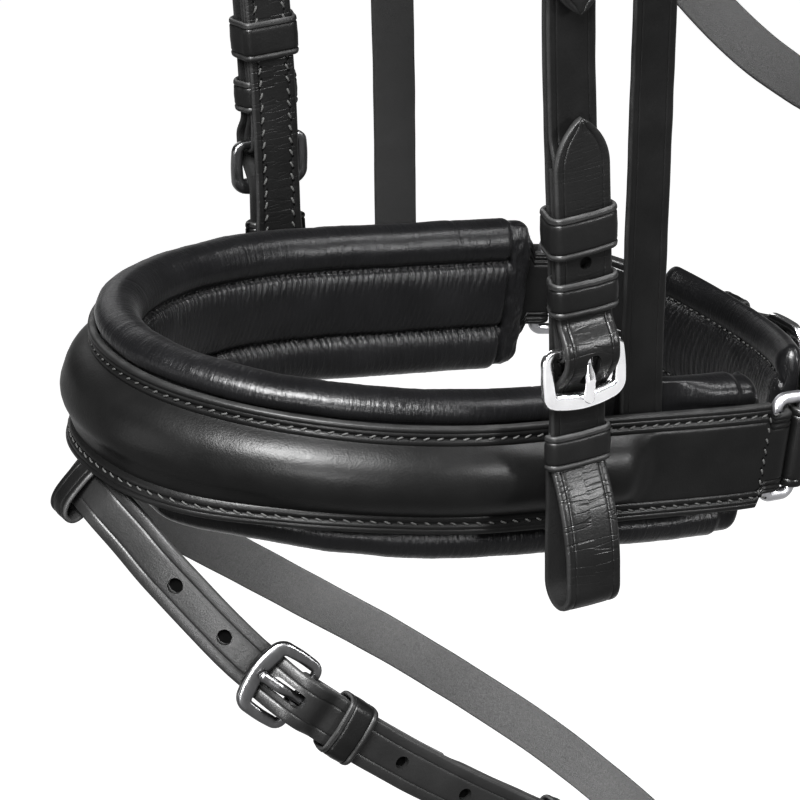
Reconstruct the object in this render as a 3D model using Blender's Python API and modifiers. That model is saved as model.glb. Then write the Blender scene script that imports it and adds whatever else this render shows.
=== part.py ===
"""Riding bridle: crown, browband, two cheekpieces, raised crank noseband with flash, throatlatch.

Nose towards -X, the horse's left (near) side towards -Y, +Z up. The origin is at the poll, on the
underside of the crown pad. Lengths below are in millimetres; every mesh is scaled to metres.
"""

import math

import bmesh
import bpy
from mathutils import Matrix, Vector

MM = 0.001

# ---------------------------------------------------------------- driving dimensions (mm)
CHEEK_W = 13.2  # width of the cheekpiece and its backing
BILLET_W = 15.0  # width of the billets and the bit loop
HANGER_W = 12.5
FLASH_W = 13.0
THROAT_W = 13.5
CHIN_W = 22.0
CROWN_W = 38.0
CROWN_PAD_W = 44.0
BROW_H = 16.0
NOSE_STRAP_H = 29.0
PLY = 1.4  # thinned leather of a chape
BACKING = 1.6
BILLET = 2.2
GAP = 0.3

BAR_R = 1.2  # buckle wire
BUCKLE_L = 14.0  # hinge bar to far bar
BUCKLE_SIDE = 2.3  # clearance from strap edge to the side bar's centre
TONGUE_R = 1.0
HINGE_UP = 3.5  # hinge bar above the layer that it lies on

CROWN_END_Z = -122.0
UPPER_HINGE_Z = -246.0
LOWER_HINGE_Z = -380.0
BIT_LOOP_Z = -448.1

NOSE_HALF_W = 60.5  # ring of the pad's rolls
NOSE_FRONT_X = -87.5
NOSE_SIDE_X = -9.0  # where the sides begin to be straight
NOSE_END_X = 63.3
FAR_LONGER = 2.7  # the far end lies this much further back
NOSE_Z = -420.0
NOSE_TILT = 0.14
FLASH_TOP = (-103.3, -429.3)  # x, z of the flash where it passes through its loop
FLASH_TILT = 0.80

# base of the head under the crown: |y|, z
HEAD = [(0, 0), (20, -2.5), (38, -10), (52, -23), (62, -42), (68, -66), (71, -95), (72.5, -125), (73, -150)]
# inner face of the cheek straps below the crown: x, |y|, z
CHEEK = [(-11.5, 82.4, -118), (-11.8, 83.4, -150), (-12, 82, -200), (-11.2, 80, -246), (-9.5, 78, -300),
         (-6.5, 76.8, -350), (-5, 76.5, -385), (-4.4, 76.5, -420), (-4.0, 76.5, -470)]


# ---------------------------------------------------------------- scene
for old in list(bpy.data.objects):
    bpy.data.objects.remove(old, do_unlink=True)

PARTS = bpy.data.collections.new("riding_bridle")
CUTTERS = bpy.data.collections.new("cutters")
for made in (PARTS, CUTTERS):
    bpy.context.scene.collection.children.link(made)
CUTTERS.hide_render = True


def material(name, colour, roughness, metallic=0.0):
    mat = bpy.data.materials.new(name)
    mat.use_nodes = True
    shader = mat.node_tree.nodes["Principled BSDF"]
    shader.inputs["Base Color"].default_value = (*colour, 1)
    shader.inputs["Roughness"].default_value = roughness
    shader.inputs["Metallic"].default_value = metallic
    mat.diffuse_color = (*colour, 1)
    return mat


GRAIN = (0.012, 0.012, 0.013)
SOFT = (0.016, 0.016, 0.017)
STEEL = (0.78, 0.78, 0.79)


def leather(name):
    return material(name + "_leather", GRAIN, 0.42)


def soft(name):
    return material(name + "_soft_leather", SOFT, 0.5)


def metal(name):
    return material(name + "_metal", STEEL, 0.22, 1.0)


# ---------------------------------------------------------------- curves in space
def catmull(points, steps=14):
    """Points on a smooth curve through the given ones."""
    pts = [Vector(p) for p in points]
    pts = [2 * pts[0] - pts[1], *pts, 2 * pts[-1] - pts[-2]]
    out = []
    for i in range(1, len(pts) - 2):
        a, b, c, d = pts[i - 1 : i + 3]
        for k in range(steps):
            t = k / steps
            out.append(
                0.5 * ((2 * b) + (c - a) * t + (2 * a - 5 * b + 4 * c - d) * t * t + (3 * b - a - 3 * c + d) * t**3)
            )
    out.append(pts[-2])
    return out


class Guide:
    """A route in space with a side that faces out. at(s) gives point, along, out and across at length s."""

    def __init__(self, points, out, smooth=14):
        self.pts = catmull(points, smooth) if smooth else [Vector(p) for p in points]
        self.out = out
        self.len = [0.0]
        for a, b in zip(self.pts, self.pts[1:]):
            self.len.append(self.len[-1] + (b - a).length)

    def total(self):
        return self.len[-1]

    def point(self, s):
        n = self.len
        if s <= 0:
            return self.pts[0] + (self.pts[0] - self.pts[1]).normalized() * -s
        if s >= n[-1]:
            return self.pts[-1] + (self.pts[-1] - self.pts[-2]).normalized() * (s - n[-1])
        lo, hi = 0, len(n) - 1
        while hi - lo > 1:
            mid = (lo + hi) // 2
            if n[mid] <= s:
                lo = mid
            else:
                hi = mid
        t = (s - n[lo]) / (n[hi] - n[lo])
        return self.pts[lo].lerp(self.pts[hi], t)

    def at(self, s):
        p = self.point(s)
        along = (self.point(s + 1.5) - self.point(s - 1.5)).normalized()
        out = self.out(p)
        out = (out - along * out.dot(along)).normalized()
        return p, along, out, along.cross(out)

    def find(self, axis, value, lo=0.0, hi=None):
        """The length at which a coordinate takes a value, for a stretch where it only rises or only falls."""
        hi = self.total() if hi is None else hi
        sign = 1 if self.point(hi)[axis] > self.point(lo)[axis] else -1
        for _ in range(50):
            mid = (lo + hi) / 2
            if (self.point(mid)[axis] - value) * sign < 0:
                lo = mid
            else:
                hi = mid
        return (lo + hi) / 2


def place(guide, s, u, w=0.0):
    p, _, out, across = guide.at(s)
    return p + out * u + across * w


# ---------------------------------------------------------------- solids
def add_object(name, data, mat, collection=None):
    obj = bpy.data.objects.new(name, data)
    (collection or PARTS).objects.link(obj)
    if mat:
        data.materials.append(mat)
    return obj


def finish_mesh(name, bm, mat, collection=None):
    bmesh.ops.scale(bm, vec=(MM, MM, MM), verts=bm.verts)
    mesh = bpy.data.meshes.new(name)
    bm.to_mesh(mesh)
    bm.free()
    obj = add_object(name, mesh, mat, collection)
    return obj


def thin(path, least=0.9):
    """Drops points that lie closer together than the least spacing."""
    out = [path[0]]
    for p in path[1:-1]:
        if math.hypot(p[0] - out[-1][0], p[1] - out[-1][1]) >= least:
            out.append(p)
    out.append(path[-1])
    return out


def strap(name, guide, path, width, thick, mat, side=0.0, tip=None, tail=None):
    """A strap: an open strip along a path of (s, u) in a guide's frame, given its thickness by Solidify."""
    bm = bmesh.new()
    rows = []
    run = [0.0]
    for a, b in zip(path, path[1:]):
        run.append(run[-1] + math.hypot(b[0] - a[0], b[1] - a[1]))
    for (s, u), d in zip(path, run):
        half = (width(d) if callable(width) else width) / 2
        if tip and run[-1] - d < tip:
            x = (run[-1] - d) / tip
            half *= max(0.30, math.sqrt(max(0.0, 1 - (1 - x) ** 2)))
        if tail and d < tail:
            x = d / tail
            half *= max(0.30, math.sqrt(max(0.0, 1 - (1 - x) ** 2)))
        rows.append([bm.verts.new(place(guide, s, u, side + w)) for w in (-half, half)])
    for a, b in zip(rows, rows[1:]):
        bm.faces.new((a[0], a[1], b[1], b[0]))
    obj = finish_mesh(name, bm, mat)
    solid = obj.modifiers.new("thickness", "SOLIDIFY")
    solid.thickness = thick * MM
    solid.offset = 0
    solid.use_even_offset = True
    return obj


def loft(name, rings, mat):
    """A closed solid through rings of points, with flat ends."""
    bm = bmesh.new()
    made = [[bm.verts.new(p) for p in ring] for ring in rings]
    for a, b in zip(made, made[1:]):
        for i in range(len(a)):
            j = (i + 1) % len(a)
            bm.faces.new((a[i], a[j], b[j], b[i]))
    bm.faces.new(list(reversed(made[0])))
    bm.faces.new(made[-1])
    bmesh.ops.recalc_face_normals(bm, faces=bm.faces)
    return finish_mesh(name, bm, mat)


def cut(obj, centre, axes, size):
    """Takes a box out of an object. axes are the box's own directions, size its full sides in mm."""
    bm = bmesh.new()
    bmesh.ops.create_cube(bm, size=1.0)
    bmesh.ops.scale(bm, vec=size, verts=bm.verts)
    cutter = finish_mesh(obj.name + "_cutter", bm, None, CUTTERS)
    cutter.matrix_world = frame_matrix(centre, axes)
    finish_cutter(obj, cutter)


def punch(obj, guide, s, u, w=0.0, radius=2.0, depth=8.0):
    """Takes a round hole through a strap."""
    bm = bmesh.new()
    bmesh.ops.create_cone(bm, cap_ends=True, segments=8, radius1=radius, radius2=radius, depth=depth)
    cutter = finish_mesh(obj.name + "_punch", bm, None, CUTTERS)
    _, along, out, across = guide.at(s)
    cutter.matrix_world = frame_matrix(place(guide, s, u, w), (along, across * -1, out))
    finish_cutter(obj, cutter)


def finish_cutter(obj, cutter):
    cutter.hide_render = True
    cutter.display_type = "WIRE"
    boolean = obj.modifiers.new("cut", "BOOLEAN")
    boolean.operation = "DIFFERENCE"
    boolean.solver = "EXACT"
    boolean.object = cutter


def frame_matrix(origin, axes):
    x, y, z = (Vector(a).normalized() for a in axes)
    if x.cross(y).dot(z) < 0:
        x = -x
    m = Matrix((x, y, z)).transposed().to_4x4()
    m.translation = Vector(origin) * MM
    return m


def wire(name, points, radius, mat, closed=False, sides=2, factors=None):
    """A round wire along points, in mm."""
    curve = bpy.data.curves.new(name, "CURVE")
    curve.dimensions = "3D"
    curve.bevel_depth = radius * MM
    curve.bevel_resolution = sides
    curve.use_fill_caps = True
    spline = curve.splines.new("POLY")
    spline.points.add(len(points) - 1)
    for i, p in enumerate(points):
        spline.points[i].co = (*(Vector(p) * MM), 1)
        spline.points[i].radius = factors[i] if factors else 1.0
    spline.use_cyclic_u = closed
    return add_object(name, curve, mat)


def keeper(name, guide, s, length, low, high, width, mat, side=0.0, thick=1.2, slack=0.5):
    """A flat leather band round a strap: a rounded outline with a hole, extruded along the strap."""
    origin, along, out, across = guide.at(s)
    origin = origin + across * side
    curve = bpy.data.curves.new(name, "CURVE")
    curve.dimensions = "2D"
    curve.fill_mode = "BOTH"
    curve.extrude = length / 2 * MM
    hw = width / 2 + slack
    for grow, corner in ((0.0, 0.6), (thick, 1.5)):
        w, lo, hi = hw + grow, low - slack - grow, high + slack + grow
        outline = []
        for cx, cy, sx, sy in ((w, hi, 1, 1), (-w, hi, -1, 1), (-w, lo, -1, -1), (w, lo, 1, -1)):
            pair = [(cx, cy - sy * corner), (cx - sx * corner, cy)]
            outline += pair if sx * sy > 0 else pair[::-1]
        spline = curve.splines.new("POLY")
        spline.points.add(len(outline) - 1)
        for i, (x, y) in enumerate(outline):
            spline.points[i].co = (x * MM, y * MM, 0, 1)
        spline.use_cyclic_u = True
    obj = add_object(name, curve, mat)
    obj.matrix_world = frame_matrix(origin, (across, out, along))
    return obj


# ---------------------------------------------------------------- a buckle in a guide's frame
def arc(s, u, r, start, end, n):
    """Points on a circle in (s, u), angles in degrees from +s towards +u."""
    return [
        (s + r * math.cos(math.radians(start + (end - start) * i / n)),
         u + r * math.sin(math.radians(start + (end - start) * i / n)))
        for i in range(n + 1)
    ]


def ease(a, b, n=6):
    """A smooth step from point a to point b in (s, u)."""
    out = []
    for i in range(n + 1):
        t = i / n
        k = t * t * (3 - 2 * t)
        out.append((a[0] + (b[0] - a[0]) * t, a[1] + (b[1] - a[1]) * k))
    return out


WRAP = BAR_R + 0.2 + PLY / 2


def chape(s_h, d, base, turned, main_s, main_u=None):
    """Path of a strap end folded round the hinge bar: its turned end first, then its main ply away from the buckle.
    d is +1 where the far bar lies at greater s."""
    low = base + PLY / 2 + 0.05
    high = base + PLY * 1.5 + 0.3
    u_b = base + HINGE_UP
    path = [(s_h - d * turned, low), (s_h - d * 12, low), (s_h - d * 6, low)]
    path += ease((s_h - d * 6, low), (s_h, u_b - WRAP), 3)[1:]
    turn = arc(0, 0, WRAP, -90, 90, 6)
    path += [(s_h + d * x, u_b + y) for x, y in turn[1:]]
    path += ease((s_h, u_b + WRAP), (s_h - d * 9, high), 5)[1:]
    if main_u is None:
        path += [(main_s, high)]
    else:
        path += [(s_h - d * turned, high)]
        path += ease((s_h - d * (turned + 1), high), (s_h - d * (turned + 8), main_u), 4)
        path += [(main_s, main_u)]
    return path


def over_buckle(s_h, d, base, rest):
    """Path of a billet from under the far bar, over the hinge bar, to where it rests on the strap."""
    low = base + BILLET / 2 + 0.05
    top = base + HINGE_UP + BAR_R + 0.2 + 2 * TONGUE_R + 0.2 + BILLET / 2
    far = s_h + d * BUCKLE_L
    path = [(far + d * 3, low), (far - d * 0.6, low)]
    path += ease((far - d * 0.6, low), (s_h + d * 0.8, top), 7)[1:]
    path += ease((s_h - d * 1.2, top), (s_h - d * 8.6, rest), 5)
    return path


def buckle(name, guide, s_h, d, base, width, side=0.0):
    """Frame and tongue of a buckle: the hinge bar at s_h, the far bar at s_h + d * BUCKLE_L."""
    origin, along, out, across = guide.at(s_h)
    origin = origin + across * side
    half = width / 2 + BUCKLE_SIDE
    u_b = base + HINGE_UP
    u_f = base + BILLET + 0.35 + 1.5
    loop, size = [], []
    for s, u, w, k in (
        (0, u_b, -half + 2.0, 1.0), (0, u_b, 0, 1.0), (0, u_b, half - 2.0, 1.0),
        (0.6, u_b, half - 0.6, 1.05), (2.0, u_b, half, 1.1),
        (BUCKLE_L - 2.2, u_f, half, 1.15), (BUCKLE_L - 0.6, u_f, half - 0.6, 1.2), (BUCKLE_L, u_f, half - 2.2, 1.25),
        (BUCKLE_L, u_f, 0, 1.25),
        (BUCKLE_L, u_f, -half + 2.2, 1.25), (BUCKLE_L - 0.6, u_f, -half + 0.6, 1.2), (BUCKLE_L - 2.2, u_f, -half, 1.15),
        (2.0, u_b, -half, 1.1), (0.6, u_b, -half + 0.6, 1.05),
    ):
        loop.append(origin + along * d * s + out * u + across * w)
        size.append(k)
    frame = wire(name + "_frame", loop, BAR_R, metal(name + "_frame"), closed=True, sides=1, factors=size)
    reach = BAR_R + 0.22 + TONGUE_R
    path = [(reach * math.cos(math.radians(a)), reach * math.sin(math.radians(a))) for a in (-80, -125, -170, -215, -258)]
    path += [(-0.1, reach), (2.5, reach + 0.1), (BUCKLE_L * 0.6, reach + 0.55), (BUCKLE_L - 1.5, u_f - u_b + 1.5 + 0.2 + TONGUE_R),
             (BUCKLE_L + 1.6, u_f - u_b + 1.5 + 0.15 + TONGUE_R)]
    # The tongue's own frame is on the hinge bar: X to the far bar, Y along the bar, Z out.
    tongue = wire(name + "_tongue", [(s, 0, u) for s, u in path], TONGUE_R, metal(name + "_tongue"), sides=1)
    tongue.matrix_world = frame_matrix(origin + out * u_b, (along * d, across * -d, out))
    return frame, tongue


def slots(chaped, guide, s_h, d, base, side=0.0, billet=None):
    """The tongue's slot in the fold of the chape, and its hole in the billet."""
    p, along, out, across = guide.at(s_h)
    p = p + across * side
    u_b = base + HINGE_UP
    if chaped:
        cut(chaped, p + out * u_b + along * d * 0.9, (along, across, out), (9.6, 2 * TONGUE_R + 1.0, 9.6))
    if billet:
        cut(billet, p + out * (u_b + 3.0) + along * d * 3.6, (along, across, out), (10.6, 2 * TONGUE_R + 0.9, 9.4))


# ---------------------------------------------------------------- routes
def head_route(sign, raise_u):
    """A strap over the poll at a height over the pad's underside, as far as the crown's end, in the plane x = 0."""
    base = catmull([(0, y, z) for y, z in HEAD], 10)
    out = []
    for i, p in enumerate(base):
        a, b = base[max(i - 1, 0)], base[min(i + 1, len(base) - 1)]
        t = (b - a).normalized()
        n = Vector((0, -t.z, t.y))
        q = p + n * raise_u
        out.append(Vector((0, q.y * -sign, q.z)))
    return out


def outward(p):
    return Vector((0, p.y, 0.0))


def crown_out(p):
    return Vector((0, p.y * 1.0, p.z + 70.0))


def over_head(raise_u, x=0.0):
    near, far = head_route(1, raise_u), head_route(-1, raise_u)
    return [Vector((x, p.y, p.z)) for p in reversed(far)] + [Vector((x, p.y, p.z)) for p in near[1:]]


def crown_guide(raise_u=0.0):
    pts = over_head(raise_u)
    return Guide(pts, crown_out, smooth=0)


CROWN = crown_guide()
CROWN_MID = CROWN.total() / 2


def crown_s(z, sign):
    """Length along the crown where it reaches a height, on the near (+1) or far (-1) side."""
    if sign > 0:
        return CROWN.find(2, z, CROWN_MID + 5, CROWN.total())
    return CROWN.find(2, z, 0, CROWN_MID - 5)


def cheek_guide(sign):
    # The far cheek hangs a little further forward than the near one.
    forward = (lambda z: 0.0) if sign > 0 else (lambda z: 2.2 - 0.005 * (z + 118))
    return Guide([(x - forward(z), -sign * y, z) for x, y, z in CHEEK], outward)


# ---------------------------------------------------------------- crown and browband
def make_crown():
    s0, s1 = crown_s(-117.0, -1), crown_s(-117.0, 1)
    n = 25
    # The middle facet of the underside lies in the plane z = 0.
    lift = -place(CROWN, s0 + (s1 - s0) * 12 / n, 0).z
    rings = []
    for i in range(n + 1):
        s = s0 + (s1 - s0) * i / n
        k = min(1.0, (min(i, n - i) + 0.6) / 2.0)
        hw = CROWN_PAD_W / 2 * (0.86 + 0.14 * k)
        flat = [(-hw, 2.6), (-hw + 2, 0.5), (-hw + 6, 0.0), (hw - 6, 0.0), (hw - 2, 0.5), (hw, 2.6),
                (hw - 2, 5.0), (hw - 6, 6.0), (-hw + 6, 6.0), (-hw + 2, 5.0)]
        rings.append([place(CROWN, s, u + lift, w) for w, u in flat])
    loft("crown_pad", rings, soft("crown_pad"))

    # The crown strap divides at each end into the ends that carry cheekpiece and throatlatch.
    u = 12.4
    a, b = crown_s(CROWN_END_Z, -1), crown_s(CROWN_END_Z, 1)
    fa, fb = crown_s(-96.0, -1), crown_s(-96.0, 1)
    m = 30
    stations = sorted({round(a + (b - a) * i / m, 3) for i in range(m + 1)} | {round(fa, 3), round(fb, 3)})
    bm = bmesh.new()
    half = CROWN_W / 2
    slit = 2.4
    rows = [[bm.verts.new(place(CROWN, s, u, w)) for w in (-half, -slit, slit, half)] for s in stations]
    for s, (ra, rb) in zip(stations, zip(rows, rows[1:])):
        mid = s + 0.5
        for k in range(3):
            if k == 1 and (mid < fa or mid > fb):
                continue
            bm.faces.new((ra[k], ra[k + 1], rb[k + 1], rb[k]))
    loose = [v for v in bm.verts if not v.link_faces]
    bmesh.ops.delete(bm, geom=loose, context="VERTS")
    strap_obj = finish_mesh("crown_strap", bm, leather("crown_strap"))
    solid = strap_obj.modifiers.new("thickness", "SOLIDIFY")
    solid.thickness = 3.0 * MM
    solid.offset = 0
    solid.use_even_offset = True


def make_browband():
    """One strip across the forehead, its ends looped round the crown."""
    outer, inner, rear, front = 91.5, 68.8, 25.5, -26.0
    z = -96.0
    half = [(-72, 0), (-71, 14), (-67, 32), (-59, 50), (-48, 66), (-36, 79), (-24, 88.0), (-10, 91.2), (6, 91.6), (18, 91.0)]
    near = catmull([(x, y, z) for x, y in half], 3)
    turn = []
    for i in range(1, 8):
        t = math.radians(90 - 180 * i / 8)
        turn.append(Vector((rear - 7 + 7.4 * math.cos(t), (outer + inner) / 2 - 0.3 + ((outer - inner) / 2) * math.sin(t), z)))
    back = [Vector((x, inner - 0.6, z)) for x in (12, 2, -8, -17)]
    back += [Vector((-24, inner + 1.8, z)), Vector((-28.2, inner + 7.0, z)), Vector((-30.2, inner + 12.0, z))]
    side = near + turn + back
    full = [Vector((p.x, p.y, p.z)) for p in reversed(side)] + [Vector((p.x, -p.y, p.z)) for p in side[1:]]
    bm = bmesh.new()
    rows = [[bm.verts.new(p + Vector((0, 0, h))) for h in (-BROW_H / 2, BROW_H / 2)] for p in full]
    for a, b in zip(rows, rows[1:]):
        bm.faces.new((a[0], a[1], b[1], b[0]))
    obj = finish_mesh("browband", bm, leather("browband"))
    solid = obj.modifiers.new("thickness", "SOLIDIFY")
    solid.thickness = 2.6 * MM
    solid.offset = 0
    solid.use_even_offset = True

    # The lining pad lies behind the strip, across the forehead only.
    line = [p for p in reversed(near) if p.y < 60] + [Vector((p.x, -p.y, p.z)) for p in near[1:] if p.y < 60]
    rings = []
    for i, p in enumerate(line):
        a, b = line[max(i - 1, 0)], line[min(i + 1, len(line) - 1)]
        t = (b - a).normalized()
        n = Vector((-t.y, t.x, 0))
        if n.x < 0:
            n = -n
        k = 0.8 if i in (0, len(line) - 1) else 1.0
        prof = [(1.7, -6 * k), (1.7, 6 * k), (3.2, 9.4 * k), (5.6, 8.6 * k), (6.8, 4 * k), (6.8, -4 * k), (5.6, -8.6 * k), (3.2, -9.4 * k)]
        rings.append([p + n * v + Vector((0, 0, h)) for v, h in prof])
    loft("browband_pad", rings, soft("browband_pad"))


# ---------------------------------------------------------------- cheekpieces
def make_cheek(side, sign):
    g = cheek_guide(sign)
    across = g.at(100)[3]
    s_of = lambda z: g.find(2, z)
    s_top = s_of(-124.6)
    s_up, s_low = s_of(UPPER_HINGE_Z), s_of(LOWER_HINGE_Z)
    s_tip_up, s_tip_low = s_of(-294.5), s_of(-320.0)
    s_loop = s_of(BIT_LOOP_Z)
    base = BACKING + 0.2
    rest = base + 2 * PLY + 0.45 + BILLET / 2 + 0.2

    # Crown billet: down from the crown's front end, through the upper buckle, to its point.
    # Its top is rounded about the line on which it bends away from the crown.
    start = base + BILLET / 2 + 0.05
    path = [(s_top, start), (s_top + 4, start), (s_top + 30, start), (s_top + 60, start), (s_up - 30, start), (s_up - BUCKLE_L - 8, start)]
    path += over_buckle(s_up, -1, base, rest)
    path += [(s_up + 20, rest), (s_up + 40, rest), (s_tip_up - 7, rest), (s_tip_up - 4.5, rest), (s_tip_up - 2, rest), (s_tip_up - 0.6, rest), (s_tip_up, rest)]
    crown_billet = strap(f"{side}_crown_billet", g, path, BILLET_W, BILLET, leather(side + "_crown_billet"), tip=9)

    # Cheekpiece: outer ply, folded round both hinge bars.
    resting = BACKING + 0.25 + PLY / 2
    low = chape(s_low, 1, base, 47, 0, resting)
    up = chape(s_up, -1, base, 34, 0, resting)
    path = low[:-1] + [((s_up + s_low) / 2, resting)] + list(reversed(up[:-1]))
    cheek = strap(f"{side}_cheekpiece", g, path, CHEEK_W - 0.2, PLY, leather(side + "_cheekpiece"))

    # Lower billet: behind the cheekpiece, round the bit loop, up through the lower buckle, to its point.
    mid = BACKING / 2
    loop_r = 5.4
    path = [(s_up + 7, mid), ((s_up + s_low) / 2, mid), (s_low - 20, mid), (s_low + 20, mid), (s_loop - 22, mid), (s_loop - loop_r - 4, mid)]
    path += arc(s_loop - loop_r, mid + loop_r, loop_r, -90, 90, 9)
    lowk = base + BILLET / 2 + 0.05
    path += ease((s_loop - loop_r - 4, mid + 2 * loop_r - 0.2), (s_of(-415.0), lowk), 7)
    path += [(s_of(-406.5), lowk)]
    path += over_buckle(s_low, 1, base, rest)
    path += [(s_low - 20, rest), (s_low - 40, rest), (s_tip_low + 7, rest), (s_tip_low + 4.5, rest), (s_tip_low + 2, rest), (s_tip_low + 0.6, rest), (s_tip_low, rest)]
    first = s_low + 20 - (s_up + 7)

    def widening(d):
        t = max(0.0, min(1.0, (d - first) / 14))
        return CHEEK_W + (BILLET_W - CHEEK_W) * t

    billet = strap(f"{side}_bit_billet", g, path, widening, BACKING + 0.2, leather(side + "_bit_billet"), tip=9)

    for obj, s_h, d, bil in ((cheek, s_low, 1, billet), (cheek, s_up, -1, crown_billet)):
        slots(obj, g, s_h, d, base, billet=bil)
    buckle(f"{side}_lower_buckle", g, s_low, 1, base, BILLET_W)
    buckle(f"{side}_upper_buckle", g, s_up, -1, base, BILLET_W)

    top = rest + BILLET / 2
    w = BILLET_W
    keeper(f"{side}_bit_keeper", g, s_of(-407.0), 9.5, 0.0, lowk + BILLET / 2, w, leather(side + "_bit_keeper"))
    keeper(f"{side}_lower_fixed_keeper", g, s_low - 14.6, 9.0, 0.0, top, w, leather(side + "_lower_fixed_keeper"))
    keeper(f"{side}_lower_running_keeper", g, s_low - 31, 11.0, 0.0, top, w, leather(side + "_lower_running_keeper"))
    keeper(f"{side}_upper_fixed_keeper", g, s_up + 14.6, 9.0, 0.0, top, w, leather(side + "_upper_fixed_keeper"))
    keeper(f"{side}_upper_running_keeper", g, s_up + 31, 10.0, 0.0, top, w, leather(side + "_upper_running_keeper"))


# ---------------------------------------------------------------- noseband
def nose_z(x):
    return NOSE_Z - NOSE_TILT * (x + 9.0)


def nose_plan():
    """The ring of the pad's rolls, from the near end round the front to the far end."""
    near = [(NOSE_END_X + 6, -58.4), (NOSE_END_X - 10, -NOSE_HALF_W + 0.2), (20, -NOSE_HALF_W), (5, -NOSE_HALF_W)]
    a = NOSE_SIDE_X - NOSE_FRONT_X
    for deg in range(0, 91, 9):
        t = math.radians(deg)
        near.append((NOSE_SIDE_X - a * math.sin(t), -NOSE_HALF_W * math.cos(t)))
    far = []
    for x, y in reversed(near[:-1]):
        t = math.acos(min(1.0, -y / NOSE_HALF_W)) if x < NOSE_SIDE_X else 0.0
        far.append((x, -y * (1 - 0.03 * math.sin(2 * t))))
    return near + [(x + (FAR_LONGER if x > NOSE_END_X - 11 else 0.0), y) for x, y in far]


def nose_out(p):
    x = p.x - max(NOSE_SIDE_X, min(p.x, NOSE_END_X + 40))
    a = (NOSE_SIDE_X - NOSE_FRONT_X) / NOSE_HALF_W
    return Vector((x / a / a, p.y, 0))


NOSE = Guide([(x, y, nose_z(x)) for x, y in nose_plan()], nose_out, smooth=6)
NOSE_UP = Vector((-NOSE_TILT, 0, 1)).normalized()


def nose_point(s, u, h):
    """Place on the noseband: out from the roll ring by u, up across the band by h."""
    p, _, out, across = NOSE.at(s)
    up = across if across.z > 0 else -across
    return p + out * u + up * h


STRAP_U = 5.7  # middle of the outer strap's leather
RING_GAP = 9.0
NOSE_END_NEAR = 8.0
def nose_ends():
    return NOSE_END_NEAR, NOSE.total() - NOSE_END_NEAR


def make_noseband():
    s0, s1 = nose_ends()
    # Outer strap: leather folded round each ring's bar, raised along its middle over the nose.
    wrap = 3.0
    half = 1.15
    bar_near, bar_far = s0 - 2.0, s1 + 2.0

    def end_path(bar, d):
        # from the turned end behind, round the bar, to the front
        u_b = STRAP_U - wrap
        path = [(bar - d * 6.6, STRAP_U - 2 * wrap + 0.2), (bar - d * 3.6, STRAP_U - 2 * wrap + 0.1)]
        path += [(bar + d * x, u_b + y) for x, y in arc(0, 0, wrap, -90, 90, 6)]
        return path

    n = 42
    path = end_path(bar_near, -1)
    path += [(s0 + 2 + (s1 - s0 - 4) * i / n, STRAP_U) for i in range(n + 1)]
    path += list(reversed(end_path(bar_far, 1)))
    rings = []
    for i, (s, u) in enumerate(path):
        a, b = path[max(i - 1, 0)], path[min(i + 1, len(path) - 1)]
        pa, pb = nose_point(a[0], a[1], 0), nose_point(b[0], b[1], 0)
        p, _, out, across = NOSE.at(s)
        up = across if across.z > 0 else -across
        t = (pb - pa).normalized()
        n_out = up.cross(t)
        centre = nose_point(s, u, 0)
        from_end = min(s - s0, s1 - s)
        dome = max(0.0, min(1.0, (from_end - 36) / 9.0))
        dome = dome * dome * (3 - 2 * dome)
        dome *= 1 + 0.5 * max(0.0, -out.x)
        h = NOSE_STRAP_H / 2
        section = [(-half, -h), (half, -h), (half, -9.6), (half + 2.4 * dome, -7.6), (half + 4.3 * dome, -4.2),
                   (half + 4.9 * dome, 0), (half + 4.3 * dome, 4.2), (half + 2.4 * dome, 7.6), (half, 9.6), (half, h), (-half, h)]
        rings.append((centre, n_out, up, section))
    solid = []
    for centre, n_out, up, section in rings:
        solid.append([centre + n_out * v + up * k for v, k in section])
    loft("noseband_strap", solid, leather("noseband_strap"))

    # Pad: a roll along each edge and a quilted middle, its back flat against the strap.
    a, b = s0 + 5.4, s1 - 5.4
    prof = [(3.8, -14.7), (5.2, -17.4), (4.2, -21.4), (0, -23.6), (-4.6, -21.6), (-6.6, -16), (-4.8, -9.6),
            (-6.8, -5), (-6.8, 5), (-4.8, 9.6), (-6.6, 14), (-4.6, 19.4), (0, 21), (4.2, 19.2), (5.2, 16.6), (3.8, 14.7)]
    n = 32
    rings = []
    for i in range(n + 1):
        s = a + (b - a) * i / n
        k = 0.93 if i in (0, n) else 1.0
        rings.append([nose_point(s, u * k, h * k) for u, h in prof])
    pad = loft("noseband_pad", rings, soft("noseband_pad"))

    # Rings of the crank, one in each folded end.
    for side, bar, d in (("near", bar_near, -1), ("far", bar_far, 1)):
        u_b = STRAP_U - wrap
        loop = []
        hh = NOSE_STRAP_H / 2 + 2.4
        for s, h in ((0, -hh + 2), (0, hh - 2), (1.2, hh - 0.6), (3, hh), (RING_GAP - 3, hh), (RING_GAP - 1.2, hh - 0.6), (RING_GAP, hh - 2),
                     (RING_GAP, -hh + 2), (RING_GAP - 1.2, -hh + 0.6), (RING_GAP - 3, -hh), (3, -hh), (1.2, -hh + 0.6)):
            loop.append(nose_point(bar + d * s, u_b, h))
        wire(f"{side}_crank_ring", loop, 1.5, metal(side + "_crank_ring"), closed=True)
    return pad, bar_near, bar_far


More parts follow.
